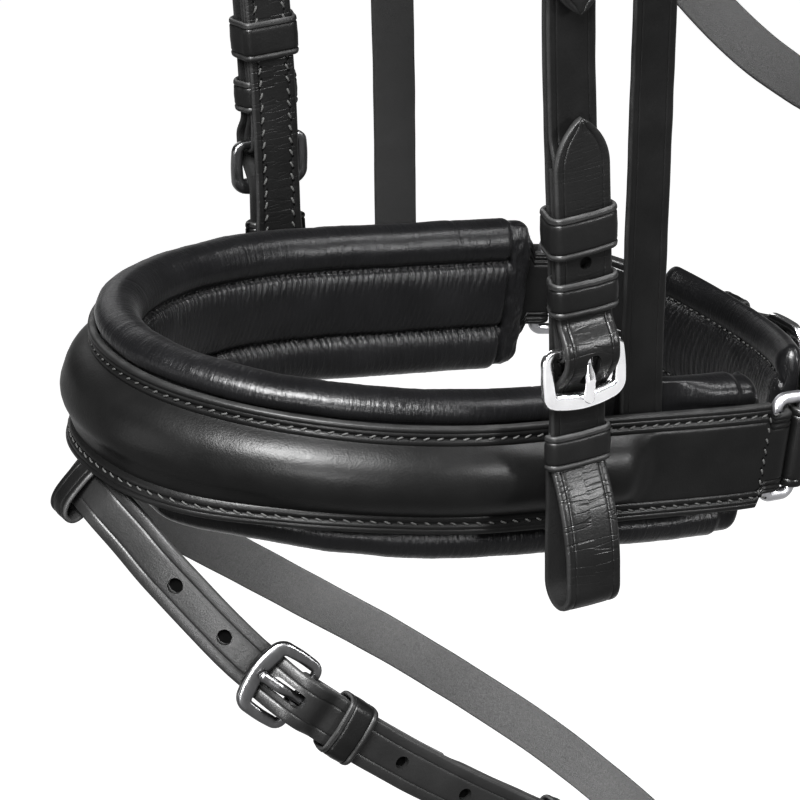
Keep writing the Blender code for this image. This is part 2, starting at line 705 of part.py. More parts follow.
# ---------------------------------------------------------------- chin strap and pad
def chin_guide():
    bar = nose_point(NOSE_END_NEAR - 2.0 - RING_GAP, STRAP_U - 3.0, 0)
    x0 = bar.x
    half = [(0, -bar.y - 2.4), (7.4, 52.5), (14.8, 44.0), (22.4, 31.0), (26.8, 16.5), (28.2, 0.0)]
    back = lambda x: x0 + x + FAR_LONGER * (1 - x / 28.2)
    drop = lambda x: nose_z(x) - 0.16 * max(0.0, x - x0 - 8)
    pts = [(x0 + x, -y, drop(x0 + x)) for x, y in half] + [(back(x), y, drop(back(x))) for x, y in reversed(half[:-1])]

    def out(p):
        return Vector(((p.x - x0) / 0.5, p.y, 0))

    return Guide(pts, out, smooth=8)


def make_chin(bar_near, bar_far):
    g = chin_guide()
    total = g.total()
    u_bar = 0.9
    wrap = 2.9
    bar = nose_point(NOSE_END_NEAR - 2.0 - RING_GAP, STRAP_U - 3.0, 0)
    p0, along, out0, _ = g.at(0.0)
    s_n, u_n = (bar - p0).dot(along), (bar - p0).dot(out0)
    s_f = total - s_n
    # Pad behind the jaw.
    a, b = 34.0, total - 34.0
    prof = [(-3.0, -15), (-3.6, -18), (-7, -18.6), (-10.4, -15), (-10.8, -8.4), (-10.8, 0), (-10.8, 8.4), (-10.4, 15), (-7, 18.6), (-3.6, 18), (-3.0, 15)]
    rings = []
    n = 20
    for i in range(n + 1):
        s = a + (b - a) * i / n
        k = 0.86 if i in (0, n) else 1.0
        p, _, out, across = g.at(s)
        up = across if across.z > 0 else -across
        rings.append([p + out * u + up * h * k for u, h in prof])
    loft("chin_pad", rings, soft("chin_pad"))

    # Strap: sewn round the far ring, over the pad, round the near ring, and back to its point.
    th = 1.8
    inner = 0.0
    s_h = total * 0.5 + 2
    base = inner + th / 2 + 0.25
    path = [(s_f - 28, inner + th + 0.35), (s_f - 20, inner + th + 0.35), (s_f - 12, inner + th + 0.4)]
    path += ease((s_f - 12, inner + th + 0.4), (s_f, u_n + wrap), 4)[1:]
    path += [(s_f + x, u_n + y) for x, y in arc(0, 0, wrap, 90, -90, 6)[1:]]
    path += ease((s_f, u_n - wrap), (s_f - 9, inner), 3)[1:]
    m = 22
    path += [(s_f - 9 + (s_n + 18 - s_f) * i / m, inner) for i in range(1, m)]
    path += ease((s_n + 9, inner), (s_n, u_n - wrap), 3)
    path += [(s_n - x, u_n + y) for x, y in arc(0, 0, wrap, -90, 90, 6)[1:]]
    low = base + BILLET / 2 + 0.05
    path += ease((s_n, u_n + wrap), (s_n + 12, low), 5)[1:]
    path += [(s_n + 12 + (s_h - BUCKLE_L - 5 - s_n - 12) * i / 6, low) for i in range(1, 6)]
    rest = base + 2 * PLY + 0.45 + BILLET / 2 + 0.2
    path += over_buckle(s_h, -1, base, rest)
    s_tip = s_h + 50
    path += [(s_h + 13, rest), (s_h + 18, rest), (s_h + 23, rest), (s_h + 28, rest), (s_h + 33, rest), (s_h + 38, rest), (s_tip - 7, rest), (s_tip - 4, rest), (s_tip - 1.5, rest), (s_tip, rest)]
    chin = strap("chin_strap", g, path, CHIN_W, th, leather("chin_strap"), tip=11)
    ch = [(s_h + 26, base + PLY / 2 + 0.05), (s_h + 21, base + PLY / 2 + 0.05), (s_h + 16, base + PLY / 2 + 0.05)] + chape(s_h, -1, base, 12, 0, None)[1:-1]
    ch += [(s_h + x, base + PLY * 1.5 + 0.3) for x in (12, 16, 21, 26)]
    ch = thin(ch, 0.5)
    chape_obj = strap("chin_buckle_chape", g, ch, CHIN_W - 0.6, PLY, leather("chin_buckle_chape"))
    slots(chape_obj, g, s_h, -1, base, billet=chin)
    buckle("chin_buckle", g, s_h, -1, base, CHIN_W)
    top = rest + th / 2
    keeper("chin_fixed_keeper", g, s_h + 17, 8.5, -th / 2, top, CHIN_W, leather("chin_fixed_keeper"), slack=0.6)
    return g


# ---------------------------------------------------------------- noseband hanger
def hanger_route():
    """From the far side of the noseband over the poll, on the crown pad, to the near side."""
    top = [Vector((7.0 * min(1.0, max(0.0, (-p.z - 8) / 60)), p.y, p.z)) for p in over_head(8.6)]
    keep = [p for p in top if p.z > -112]
    lower = [(7.5, 79.2, -135), (12, 76.0, -170), (17, 71.5, -205), (21, 68.2, -240), (22, 66.8, -280), (22.7, 65.2, -330), (23.0, 63.8, -375), (23.3, 63.5, -432)]
    return [Vector((x - 2.0, y, z)) for x, y, z in reversed(lower)] + keep + [Vector((x, -y, z)) for x, y, z in lower]


def hanger_out(p):
    return Vector((0, p.y, 70.0 + p.z if p.z > -70 else 0.0))


def make_hanger(pad):
    g = Guide(hanger_route(), hanger_out, smooth=3)
    total = g.total()
    mid = total / 2
    s_z = lambda z: g.find(2, z, mid + 10, total)
    s_end = s_z(-428.0)
    s_h = s_z(-236.0)
    base = 0.0
    th = 2.0
    # Long strap: sewn in on the far side, over the poll, to its point in the near buckle.
    far_end = g.find(2, -428.0, 0, mid - 10)
    path = [(far_end, 0.0)]
    n = 38
    stop = s_z(-190)
    path += [(far_end + (stop - far_end) * i / n, 0.0) for i in range(1, n + 1)]
    low = base + BILLET / 2 + 0.05
    path += ease((stop + 3, 0.0), (s_h - BUCKLE_L - 9, low), 4)
    rest = base + 2 * PLY + 0.45 + BILLET / 2 + 0.2
    path += over_buckle(s_h, -1, base, rest)
    tip = s_z(-291)
    path += [(s_h + 18, rest), (s_h + 30, rest), (s_h + 42, rest), (tip - 6, rest), (tip - 3.5, rest), (tip - 1.5, rest), (tip, rest)]
    long_strap = strap("noseband_hanger", g, path, HANGER_W, th, leather("noseband_hanger"), tip=8)
    # Short near cheek with the buckle.
    ch = chape(s_h, -1, base, 40, s_end, 0.0)
    tail = ch[:-1] + [(s_z(z), 0.0) for z in (-300, -320, -345, -370, -400)] + [(s_end, 0.0)]
    short = strap("noseband_hanger_near_cheek", g, thin(tail, 0.5), HANGER_W - 0.4, PLY + 0.3, leather("noseband_hanger_near_cheek"))
    slots(short, g, s_h, -1, base, billet=long_strap)
    buckle("hanger_buckle", g, s_h, -1, base, HANGER_W)
    top = rest + BILLET / 2
    keeper("hanger_fixed_keeper", g, s_h + 14.8, 8.5, -0.1, top, HANGER_W, leather("hanger_fixed_keeper"))
    keeper("hanger_running_keeper", g, s_h + 31, 9.0, -0.1, top, HANGER_W, leather("hanger_running_keeper"))
    # Room in the pad's back for both ends.
    for s in (far_end, s_end):
        p, along, out, across = g.at(s)
        along_in = along if s > mid else -along
        cut(pad, p - along_in * 22, (across, out, along), (HANGER_W + 1.2, 3.4, 56))
    return g


# ---------------------------------------------------------------- throatlatch
def make_throat():
    near = [(10.7, 82.4, -127), (12.5, 82.3, -145), (19, 81.8, -170), (36, 78.8, -213), (58, 73.6, -258), (80, 66, -300), (99, 51, -334), (111, 29, -354), (116, 0, -361)]
    pts = [(x, -y, z) for x, y, z in near] + [(x, y, z) for x, y, z in reversed(near[:-1])]
    def out(p):
        return Vector((0.35 * max(0.0, p.x - 30) / 60, p.y / 60, -0.9 * max(0.0, (p.x - 60) / 56) ** 2 * 0.9))
    g = Guide(pts, out, smooth=8)
    total = g.total()
    base = 0.0
    low = base + BILLET / 2 + 0.05
    s_h = 118.0
    th = 2.0
    rest = base + 2 * PLY + 0.45 + BILLET / 2 + 0.2
    # Upper near end with the billet, sewn to the crown's rear end.
    path = [(1.5, low + 0.6), (6, low + 0.6), (30, low + 0.3), (60, low), (s_h - BUCKLE_L - 9, low)]
    path = [(1.5 + (s_h - BUCKLE_L - 10 - 1.5) * i / 10, low + 0.6 * (1 - i / 10)) for i in range(11)]
    path += over_buckle(s_h, -1, base, rest)
    path += [(s_h + 18, rest), (s_h + 26, rest), (s_h + 38, rest), (s_h + 46, rest), (s_h + 50, rest), (s_h + 52.5, rest), (s_h + 54, rest)]
    billet = strap("throatlatch_billet", g, path, THROAT_W, th, leather("throatlatch_billet"), tip=8)
    n = 30
    ch = chape(s_h, -1, base, 40, 0, 0.6)[:-1]
    s_a, s_b = s_h + 52, total - 1.5
    ch += [(s_a + (s_b - s_a) * i / n, 0.6 + (low) * (i / n)) for i in range(1, n + 1)]
    main = strap("throatlatch", g, thin(ch, 0.5), THROAT_W - 0.4, PLY + 0.3, leather("throatlatch"))
    slots(main, g, s_h, -1, base, billet=billet)
    buckle("throatlatch_buckle", g, s_h, -1, base, THROAT_W)
    top = rest + BILLET / 2
    keeper("throatlatch_fixed_keeper", g, s_h + 14.8, 8.5, -0.3, top, THROAT_W, leather("throatlatch_fixed_keeper"))
    keeper("throatlatch_running_keeper", g, s_h + 31, 9.0, -0.3, top, THROAT_W, leather("throatlatch_running_keeper"))
    return g


# ---------------------------------------------------------------- flash
def flash_guide():
    x0, z0 = FLASH_TOP
    # From the loop down the near side to the chin groove: distance back from the loop, side, height.
    near = [(0, 0, -429.3), (0.8, -9, -431.8), (4.6, -17, -438.0), (11.6, -26, -447.0), (26.8, -41, -465.5), (39.8, -47, -478), (52.8, -50.5, -489.5),
            (68.8, -52.5, -502.5), (88.8, -53.5, -517.5), (114.8, -52.5, -536), (138.8, -47, -553), (158.8, -36, -567), (170.8, -20, -576), (174.8, 0, -579)]
    far = [(1.2, 9, -431), (5.5, 17, -435.5), (13.8, 28, -443.5), (24.8, 38, -452.5), (40.8, 45, -467), (56.8, 48.5, -480), (88.8, 50, -505.5),
           (114.8, 49.5, -526), (138.8, 45.5, -546), (158.8, 35.5, -563), (170.8, 20, -574.5)]
    pts = [(x0 + x, y, z) for x, y, z in near + far[::-1]]
    pts.append(pts[0])
    def out(p):
        x = p.x - x0
        return Vector(((x - 80) / 80 * 0.8, p.y / 55, -(x - 80) / 80 * 0.8 * FLASH_TILT))
    return pts, out


def make_flash():
    pts, out = flash_guide()
    g = Guide(pts, out, smooth=6)
    total = g.total()
    base = 0.0
    th = 1.9
    low = base + BILLET / 2 + 0.05
    s_h = 77.7
    rest = base + 2 * PLY + 0.45 + BILLET / 2 + 0.2
    # The billet starts at the loop on the nose, runs down the near side and through the buckle.
    # The rest of the strap starts at the buckle and comes back up the far side.
    d = -1
    n = 14
    path = [(-6.0, low), (0.0, low)] + [(s_h * i / n * 0.70, low) for i in range(1, n + 1)]
    path = [p for p in path if p[0] < s_h - BUCKLE_L - 5]
    path += over_buckle(s_h, d, base, rest)
    tip = s_h + 102
    k = 14
    path += [(s_h + 14 + (tip - s_h - 20) * i / k, rest) for i in range(k + 1)]
    path += [(tip - 4, rest), (tip - 1.8, rest), (tip, rest)]
    billet = strap("flash_billet", g, thin(path, 1.0), FLASH_W, th, leather("flash_billet"), tip=8)
    ch = chape(s_h, d, base, 46, 0, 0.6)[:-1]
    s_a, s_b = s_h + 62, total - 8.0
    m = 40
    ch += [(s_a + (s_b - s_a) * i / m, 0.6 + (low - 0.6) * (i / m)) for i in range(m + 1)]
    main = strap("flash_strap", g, thin(ch, 0.5), FLASH_W - 0.4, PLY + 0.3, leather("flash_strap"))
    slots(main, g, s_h, d, base, billet=billet)
    buckle("flash_buckle", g, s_h, d, base, FLASH_W)
    top = rest + BILLET / 2
    # Loop that carries the flash under the front of the noseband.
    x0, z0 = FLASH_TOP
    centre = Vector((x0, 0, z0))
    wd, nd = Vector((0.625, 0, 0.78)), Vector((-0.78, 0, 0.625))
    mid = low
    plan = [(x0 + 6.8, z0 + 9.6), (x0 + 6.5, z0 + 6.6)]
    for a, b in ((6.2, -2.9), (0, -2.9), (-6.2, -2.8), (-9.3, -1.8), (-10.3, 0.4), (-9.5, 2.6), (-6.2, 3.7), (0, 3.75), (6.5, 3.7), (11.0, 3.0)):
        q = centre + nd * mid + wd * a + nd * (b if b < 0 else b - 0.6)
        plan.append((q.x, q.z))
    path = catmull([(x, 0, z) for x, z in plan], 2)
    bm = bmesh.new()
    rows = [[bm.verts.new(p + Vector((0, y, 0))) for y in (-4.4, 4.4)] for p in path]
    for a, b in zip(rows, rows[1:]):
        bm.faces.new((a[0], a[1], b[1], b[0]))
    loop = finish_mesh("flash_loop", bm, leather("flash_loop"))
    solid = loop.modifiers.new("thickness", "SOLIDIFY")
    solid.thickness = 1.5 * MM
    solid.offset = 0
    solid.use_even_offset = True
    keeper("flash_running_keeper", g, s_h + 15.8, 9.0, -0.3, top, FLASH_W, leather("flash_running_keeper"), slack=0.65)
    keeper("flash_fixed_keeper", g, s_h + 88, 8.0, -0.6, top, FLASH_W, leather("flash_fixed_keeper"))
    for i in (-41.2, -23.6):
        punch(billet, g, s_h + i, low)
    for i in (33.4, 55.5):
        punch(billet, g, s_h + i, rest, depth=3.0)
    return g


# ---------------------------------------------------------------- what swings
def swing(name, centre, pieces, parent=None):
    """An empty on a swinging group's axis, with the group's pieces under it."""
    empty = bpy.data.objects.new(name, None)
    empty.empty_display_size = 0.02
    PARTS.objects.link(empty)
    empty.location = Vector(centre) * MM
    if parent:
        empty.parent = parent
        empty.matrix_parent_inverse = Matrix.Translation(-parent.location)
    for obj in pieces:
        obj.parent = empty
        obj.matrix_parent_inverse = Matrix.Translation(-empty.location)
    return empty


def named(*starts):
    return [o for o in PARTS.objects if o.type != "EMPTY" and o.name.startswith(starts) and not o.parent]


make_crown()
make_browband()
make_cheek("near", 1)
make_cheek("far", -1)
PAD, BAR_NEAR, BAR_FAR = make_noseband()
make_chin(BAR_NEAR, BAR_FAR)
make_hanger(PAD)
make_throat()
make_flash()
NOSEBAND = swing("noseband_axis", (0, 0, 8.6), named("noseband", "hanger", "chin", "near_crank", "far_crank"))
swing("flash_axis", (-96.6, 0, -419.9), named("flash"), NOSEBAND)
swing("near_cheek_axis", (-11.5, -85.3, -123.3), named("near_"))
swing("far_cheek_axis", (-13.7, 85.3, -123.3), named("far_"))
swing("throatlatch_axis", (10.7, 0, -124.0), named("throatlatch"))
bpy.context.view_layer.update()
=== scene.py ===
"""Looks of the riding bridle. Lengths are in millimetres until a mesh is made; meshes are in metres."""

import math

import bmesh
import bpy
import numpy as np
from mathutils import Matrix, Vector


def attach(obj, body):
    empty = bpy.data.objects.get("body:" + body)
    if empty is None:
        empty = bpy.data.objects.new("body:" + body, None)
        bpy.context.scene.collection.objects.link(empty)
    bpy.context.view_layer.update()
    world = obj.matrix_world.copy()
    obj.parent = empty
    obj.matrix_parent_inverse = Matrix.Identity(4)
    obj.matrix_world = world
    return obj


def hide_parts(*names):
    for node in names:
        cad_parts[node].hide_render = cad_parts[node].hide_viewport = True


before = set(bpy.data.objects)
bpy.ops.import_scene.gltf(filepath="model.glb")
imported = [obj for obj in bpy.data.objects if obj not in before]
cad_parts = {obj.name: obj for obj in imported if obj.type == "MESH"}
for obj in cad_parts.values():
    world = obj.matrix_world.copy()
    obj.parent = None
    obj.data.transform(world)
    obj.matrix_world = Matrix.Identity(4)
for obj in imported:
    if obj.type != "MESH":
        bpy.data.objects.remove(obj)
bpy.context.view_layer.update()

MM = 0.001

# ---------------------------------------------------------------- dimensions, as the frame has them
CHEEK_W = 13.2
BILLET_W = 15.0
HANGER_W = 12.5
FLASH_W = 13.0
THROAT_W = 13.5
CHIN_W = 22.0
CROWN_W = 38.0
CROWN_PAD_W = 44.0
BROW_H = 16.0
NOSE_STRAP_H = 29.0
PLY = 1.4
BACKING = 1.6
BILLET = 2.2

BAR_R = 1.2
BUCKLE_L = 14.0
BUCKLE_SIDE = 2.3
TONGUE_R = 1.0
HINGE_UP = 3.5

CROWN_END_Z = -122.0
UPPER_HINGE_Z = -246.0
LOWER_HINGE_Z = -380.0
BIT_LOOP_Z = -448.1

NOSE_HALF_W = 60.5
NOSE_FRONT_X = -87.5
NOSE_SIDE_X = -9.0
NOSE_END_X = 63.3
FAR_LONGER = 2.7
NOSE_Z = -420.0
NOSE_TILT = 0.14
FLASH_TOP = (-103.3, -429.3)
FLASH_TILT = 0.80
STRAP_U = 5.7
RING_GAP = 9.0
NOSE_END_NEAR = 8.0

HEAD = [(0, 0), (20, -2.5), (38, -10), (52, -23), (62, -42), (68, -66), (71, -95), (72.5, -125), (73, -150)]
CHEEK = [(-11.5, 82.4, -118), (-11.8, 83.4, -150), (-12, 82, -200), (-11.2, 80, -246), (-9.5, 78, -300),
         (-6.5, 76.8, -350), (-5, 76.5, -385), (-4.4, 76.5, -420), (-4.0, 76.5, -470)]


# ---------------------------------------------------------------- noise
def _hash(a, b, seed):
    k = (a.astype(np.int64) * 374761393 + b.astype(np.int64) * 668265263 + seed * 974711) & 0xFFFFFFFF
    k = ((k ^ (k >> 13)) * 1274126177) & 0xFFFFFFFF
    return ((k ^ (k >> 16)) & 0xFFFF) / 32767.5 - 1.0


def vnoise(x, y=0.0, seed=1):
    """Smooth value noise, from -1 to 1, on a unit grid."""
    x, y = np.broadcast_arrays(np.asarray(x, float), np.asarray(y, float))
    xi, yi = np.floor(x), np.floor(y)
    fx, fy = x - xi, y - yi
    ux, uy = fx * fx * (3 - 2 * fx), fy * fy * (3 - 2 * fy)
    a, b = _hash(xi, yi, seed), _hash(xi + 1, yi, seed)
    c, d = _hash(xi, yi + 1, seed), _hash(xi + 1, yi + 1, seed)
    return (a + (b - a) * ux) * (1 - uy) + (c + (d - c) * ux) * uy


def smooth01(x):
    x = np.clip(x, 0.0, 1.0)
    return x * x * (3 - 2 * x)


# ---------------------------------------------------------------- curves in space
def catmull(points, steps=14):
    pts = [Vector(p) for p in points]
    pts = [2 * pts[0] - pts[1], *pts, 2 * pts[-1] - pts[-2]]
    out = []
    for i in range(1, len(pts) - 2):
        a, b, c, d = pts[i - 1 : i + 3]
        for k in range(steps):
            t = k / steps
            out.append(
                0.5 * ((2 * b) + (c - a) * t + (2 * a - 5 * b + 4 * c - d) * t * t + (3 * b - a - 3 * c + d) * t**3)
            )
    out.append(pts[-2])
    return out


class Guide:
    """A route in space with a side that faces out."""

    def __init__(self, points, out, smooth=14):
        self.pts = catmull(points, smooth) if smooth else [Vector(p) for p in points]
        self.out = out
        self.len = [0.0]
        for a, b in zip(self.pts, self.pts[1:]):
            self.len.append(self.len[-1] + (b - a).length)

    def total(self):
        return self.len[-1]

    def point(self, s):
        n = self.len
        if s <= 0:
            return self.pts[0] + (self.pts[0] - self.pts[1]).normalized() * -s
        if s >= n[-1]:
            return self.pts[-1] + (self.pts[-1] - self.pts[-2]).normalized() * (s - n[-1])
        lo, hi = 0, len(n) - 1
        while hi - lo > 1:
            mid = (lo + hi) // 2
            if n[mid] <= s:
                lo = mid
            else:
                hi = mid
        t = (s - n[lo]) / (n[hi] - n[lo])
        return self.pts[lo].lerp(self.pts[hi], t)

    def at(self, s):
        p = self.point(s)
        along = (self.point(s + 1.5) - self.point(s - 1.5)).normalized()
        out = self.out(p)
        out = (out - along * out.dot(along)).normalized()
        return p, along, out, along.cross(out)

    def find(self, axis, value, lo=0.0, hi=None):
        hi = self.total() if hi is None else hi
        sign = 1 if self.point(hi)[axis] > self.point(lo)[axis] else -1
        for _ in range(50):
            mid = (lo + hi) / 2
            if (self.point(mid)[axis] - value) * sign < 0:
                lo = mid
            else:
                hi = mid
        return (lo + hi) / 2


def place(guide, s, u, w=0.0):
    p, _, out, across = guide.at(s)
    return p + out * u + across * w


def arc(s, u, r, start, end, n):
    return [
        (s + r * math.cos(math.radians(start + (end - start) * i / n)),
         u + r * math.sin(math.radians(start + (end - start) * i / n)))
        for i in range(n + 1)
    ]


def ease(a, b, n=6):
    out = []
    for i in range(n + 1):
        t = i / n
        k = t * t * (3 - 2 * t)
        out.append((a[0] + (b[0] - a[0]) * t, a[1] + (b[1] - a[1]) * k))
    return out


WRAP = BAR_R + 0.2 + PLY / 2


def chape(s_h, d, base, turned, main_s, main_u=None):
    """A strap end folded round the hinge bar: its turned end first, then its main ply away from the buckle."""
    low = base + PLY / 2 + 0.05
    high = base + PLY * 1.5 + 0.3
    u_b = base + HINGE_UP
    path = [(s_h - d * turned, low), (s_h - d * 12, low), (s_h - d * 6, low)]
    path += ease((s_h - d * 6, low), (s_h, u_b - WRAP), 6)[1:]
    turn = arc(0, 0, WRAP, -90, 90, 10)
    path += [(s_h + d * x, u_b + y) for x, y in turn[1:]]
    path += ease((s_h, u_b + WRAP), (s_h - d * 9, high), 8)[1:]
    if main_u is None:
        path += [(main_s, high)]
    else:
        path += [(s_h - d * turned, high)]
        path += ease((s_h - d * (turned + 1), high), (s_h - d * (turned + 8), main_u), 6)
        path += [(main_s, main_u)]
    return path


def over_buckle(s_h, d, base, rest):
    """A billet from under the far bar, over the hinge bar, to where it rests on the strap."""
    low = base + BILLET / 2 + 0.05
    top = base + HINGE_UP + BAR_R + 0.2 + 2 * TONGUE_R + 0.2 + BILLET / 2
    far = s_h + d * BUCKLE_L
    path = [(far + d * 3, low), (far - d * 0.6, low)]
    path += ease((far - d * 0.6, low), (s_h + d * 0.8, top), 12)[1:]
    path += ease((s_h - d * 1.2, top), (s_h - d * 8.6, rest), 9)
    return path


# ---------------------------------------------------------------- materials
def add_node(nt, kind, **inputs):
    node = nt.nodes.new(kind)
    for key, value in inputs.items():
        key = key.replace("_", " ")
        if hasattr(value, "is_output"):
            nt.links.new(value, node.inputs[key])
        else:
            node.inputs[key].default_value = value
    return node


def mixed(nt, fac, a, b):
    """A number or colour between a and b."""
    colour = isinstance(a, tuple) or isinstance(b, tuple)
    node = nt.nodes.new("ShaderNodeMix")
    node.data_type = "RGBA" if colour else "FLOAT"
    first = {"RGBA": (6, 7, 2), "FLOAT": (2, 3, 0)}[node.data_type]
    for index, value in ((0, fac), (first[0], a), (first[1], b)):
        if hasattr(value, "is_output"):
            nt.links.new(value, node.inputs[index])
        else:
            node.inputs[index].default_value = (*value, 1) if isinstance(value, tuple) else value
    return node.outputs[first[2]]


def maths(nt, op, a, b=0.0, clamp=False):
    node = nt.nodes.new("ShaderNodeMath")
    node.operation = op
    node.use_clamp = clamp
    for index, value in ((0, a), (1, b)):
        if hasattr(value, "is_output"):
            nt.links.new(value, node.inputs[index])
        else:
            node.inputs[index].default_value = value
    return node.outputs[0]


def attribute(nt, name):
    node = nt.nodes.new("ShaderNodeAttribute")
    node.attribute_name = name
    return node.outputs["Fac"]


def in_mm(nt, source="Object", scale=(1, 1, 1)):
    """Coordinates in millimetres; UV coordinates count 100 mm as one."""
    coord = nt.nodes.new("ShaderNodeTexCoord")
    mapping = nt.nodes.new("ShaderNodeMapping")
    k = 1000 if source == "Object" else 100
    mapping.inputs["Scale"].default_value = (scale[0] * k, scale[1] * k, scale[2] * k)
    nt.links.new(coord.outputs[source], mapping.inputs["Vector"])
    return mapping.outputs[0]


def ramp(nt, value, low, high):
    node = nt.nodes.new("ShaderNodeMapRange")
    node.inputs["From Min"].default_value = low
    node.inputs["From Max"].default_value = high
    node.clamp = True
    nt.links.new(value, node.inputs["Value"])
    return node.outputs[0]


def new_material(name):
    mat = bpy.data.materials.new(name)
    mat.use_nodes = True
    nt = mat.node_tree
    return mat, nt, nt.nodes["Principled BSDF"]


def bump(nt, height, distance, normal=None, strength=1.0):
    node = nt.nodes.new("ShaderNodeBump")
    node.inputs["Strength"].default_value = strength
    node.inputs["Distance"].default_value = distance * MM
    nt.links.new(height, node.inputs["Height"])
    if normal is not None:
        nt.links.new(normal, node.inputs["Normal"])
    return node.outputs[0]


def leather(name, base=(0.0017, 0.0017, 0.0018), rough=0.38, flesh=(0.0046, 0.0045, 0.0043), grain=0.05, specular=0.075,
            wrinkled=False, rubbed=(0.011, 0.0106, 0.0102)):
    """Bridle leather: grain side with fine pores, rubbed edges, fibrous flesh side."""
    mat, nt, shader = new_material(name)
    mm = in_mm(nt)
    flesh_at, edge_at = attribute(nt, "flesh"), attribute(nt, "edge")
    pores = add_node(nt, "ShaderNodeTexVoronoi", Vector=mm, Scale=1.9)
    pores.feature = "F1"
    fine = add_node(nt, "ShaderNodeTexNoise", Vector=mm, Scale=1.1, Detail=6.0, Roughness=0.65)
    broad = add_node(nt, "ShaderNodeTexNoise", Vector=mm, Scale=0.055, Detail=4.0, Roughness=0.6)
    fibre = add_node(nt, "ShaderNodeTexNoise", Vector=mm, Scale=1.6, Detail=8.0, Roughness=0.75, Distortion=1.2)
    cloud = add_node(nt, "ShaderNodeTexNoise", Vector=mm, Scale=0.16, Detail=3.0, Roughness=0.5)

    lit = tuple(c * 1.5 for c in base)
    tone = mixed(nt, ramp(nt, broad.outputs[0], 0.35, 0.7), base, lit)
    worn = mixed(nt, maths(nt, "MULTIPLY", edge_at, maths(nt, "ADD", 0.35, maths(nt, "MULTIPLY", ramp(nt, cloud.outputs[0], 0.35, 0.75), 0.65))), tone, rubbed)
    flesh_tone = mixed(nt, ramp(nt, fibre.outputs[0], 0.3, 0.72), tuple(c * 0.45 for c in flesh), flesh)
    colour = mixed(nt, flesh_at, worn, flesh_tone)
    nt.links.new(colour, shader.inputs["Base Color"])

    r = maths(nt, "ADD", rough - 0.06, maths(nt, "MULTIPLY", broad.outputs[0], 0.14))
    r = maths(nt, "ADD", r, maths(nt, "MULTIPLY", maths(nt, "SUBTRACT", fine.outputs[0], 0.5), 0.16))
    r = maths(nt, "ADD", r, maths(nt, "MULTIPLY", edge_at, 0.10))
    r = mixed(nt, flesh_at, r, 0.86)
    nt.links.new(r, shader.inputs["Roughness"])
    shader.inputs["Specular IOR Level"].default_value = specular

    height = mixed(nt, 0.55, pores.outputs["Distance"], fine.outputs[0])
    height = mixed(nt, flesh_at, height, maths(nt, "MULTIPLY", fibre.outputs[0], 3.0))
    normal = bump(nt, height, grain)
    normal = bump(nt, cloud.outputs[0], 0.22, normal, 0.5)
    if wrinkled:
        uv = in_mm(nt, "UV", (0.42, 0.05, 1))
        lines = add_node(nt, "ShaderNodeTexNoise", Vector=uv, Scale=0.8, Detail=1.2, Roughness=0.5, Distortion=0.3)
        crack = maths(nt, "ABSOLUTE", maths(nt, "SUBTRACT", lines.outputs[0], 0.5))
        crack = ramp(nt, crack, 0.0, 0.028)
        fold = maths(nt, "MULTIPLY", crack, attribute(nt, "wear"))
        normal = bump(nt, fold, 0.085, normal)
    nt.links.new(normal, shader.inputs["Normal"])
    return mat


def soft_leather(name, base=(0.0012, 0.0012, 0.0013), rough=0.33, sheen=0.01, fine=1.0):
    """Glove-soft lining leather, with small creases across the roll."""
    mat, nt, shader = new_material(name)
    mm = in_mm(nt)
    uv = in_mm(nt, "UV", (1.15, 0.17, 1))
    uv2 = in_mm(nt, "UV", (2.6, 0.6, 1))
    gather_at = attribute(nt, "gather")
    creases = add_node(nt, "ShaderNodeTexNoise", Vector=uv, Scale=1.0, Detail=4.0, Roughness=0.6, Distortion=0.7)
    lines = add_node(nt, "ShaderNodeTexNoise", Vector=uv2, Scale=1.0, Detail=3.0, Roughness=0.6, Distortion=0.6)
    pebble = add_node(nt, "ShaderNodeTexVoronoi", Vector=mm, Scale=1.5)
    pebble.feature = "F1"
    broad = add_node(nt, "ShaderNodeTexNoise", Vector=mm, Scale=0.06, Detail=4.0, Roughness=0.6)
    grain = add_node(nt, "ShaderNodeTexNoise", Vector=mm, Scale=1.3, Detail=6.0, Roughness=0.7)
    tone = mixed(nt, ramp(nt, broad.outputs[0], 0.3, 0.75), base, tuple(c * 1.7 for c in base))
    # The raised crests of the creases are painted lighter: a painted highlight.
    tone = mixed(nt, maths(nt, "MULTIPLY", ramp(nt, creases.outputs[0], 0.5, 0.75), 0.35), tone, tuple(c * 2.1 for c in base))
    nt.links.new(tone, shader.inputs["Base Color"])
    r = maths(nt, "ADD", rough - 0.07, maths(nt, "MULTIPLY", broad.outputs[0], 0.16))
    r = maths(nt, "ADD", r, maths(nt, "MULTIPLY", maths(nt, "SUBTRACT", grain.outputs[0], 0.5), 0.18))
    nt.links.new(r, shader.inputs["Roughness"])
    shader.inputs["Sheen Weight"].default_value = sheen
    shader.inputs["Sheen Roughness"].default_value = 0.4
    shader.inputs["Specular IOR Level"].default_value = 0.10
    normal = bump(nt, mixed(nt, 0.5, pebble.outputs["Distance"], grain.outputs[0]), 0.05)
    amount = maths(nt, "ADD", 0.25, gather_at)
    normal = bump(nt, maths(nt, "MULTIPLY", creases.outputs[0], amount), 0.42 * fine, normal)
    normal = bump(nt, maths(nt, "MULTIPLY", lines.outputs[0], amount), 0.13 * fine, normal)
    nt.links.new(normal, shader.inputs["Normal"])
    return mat


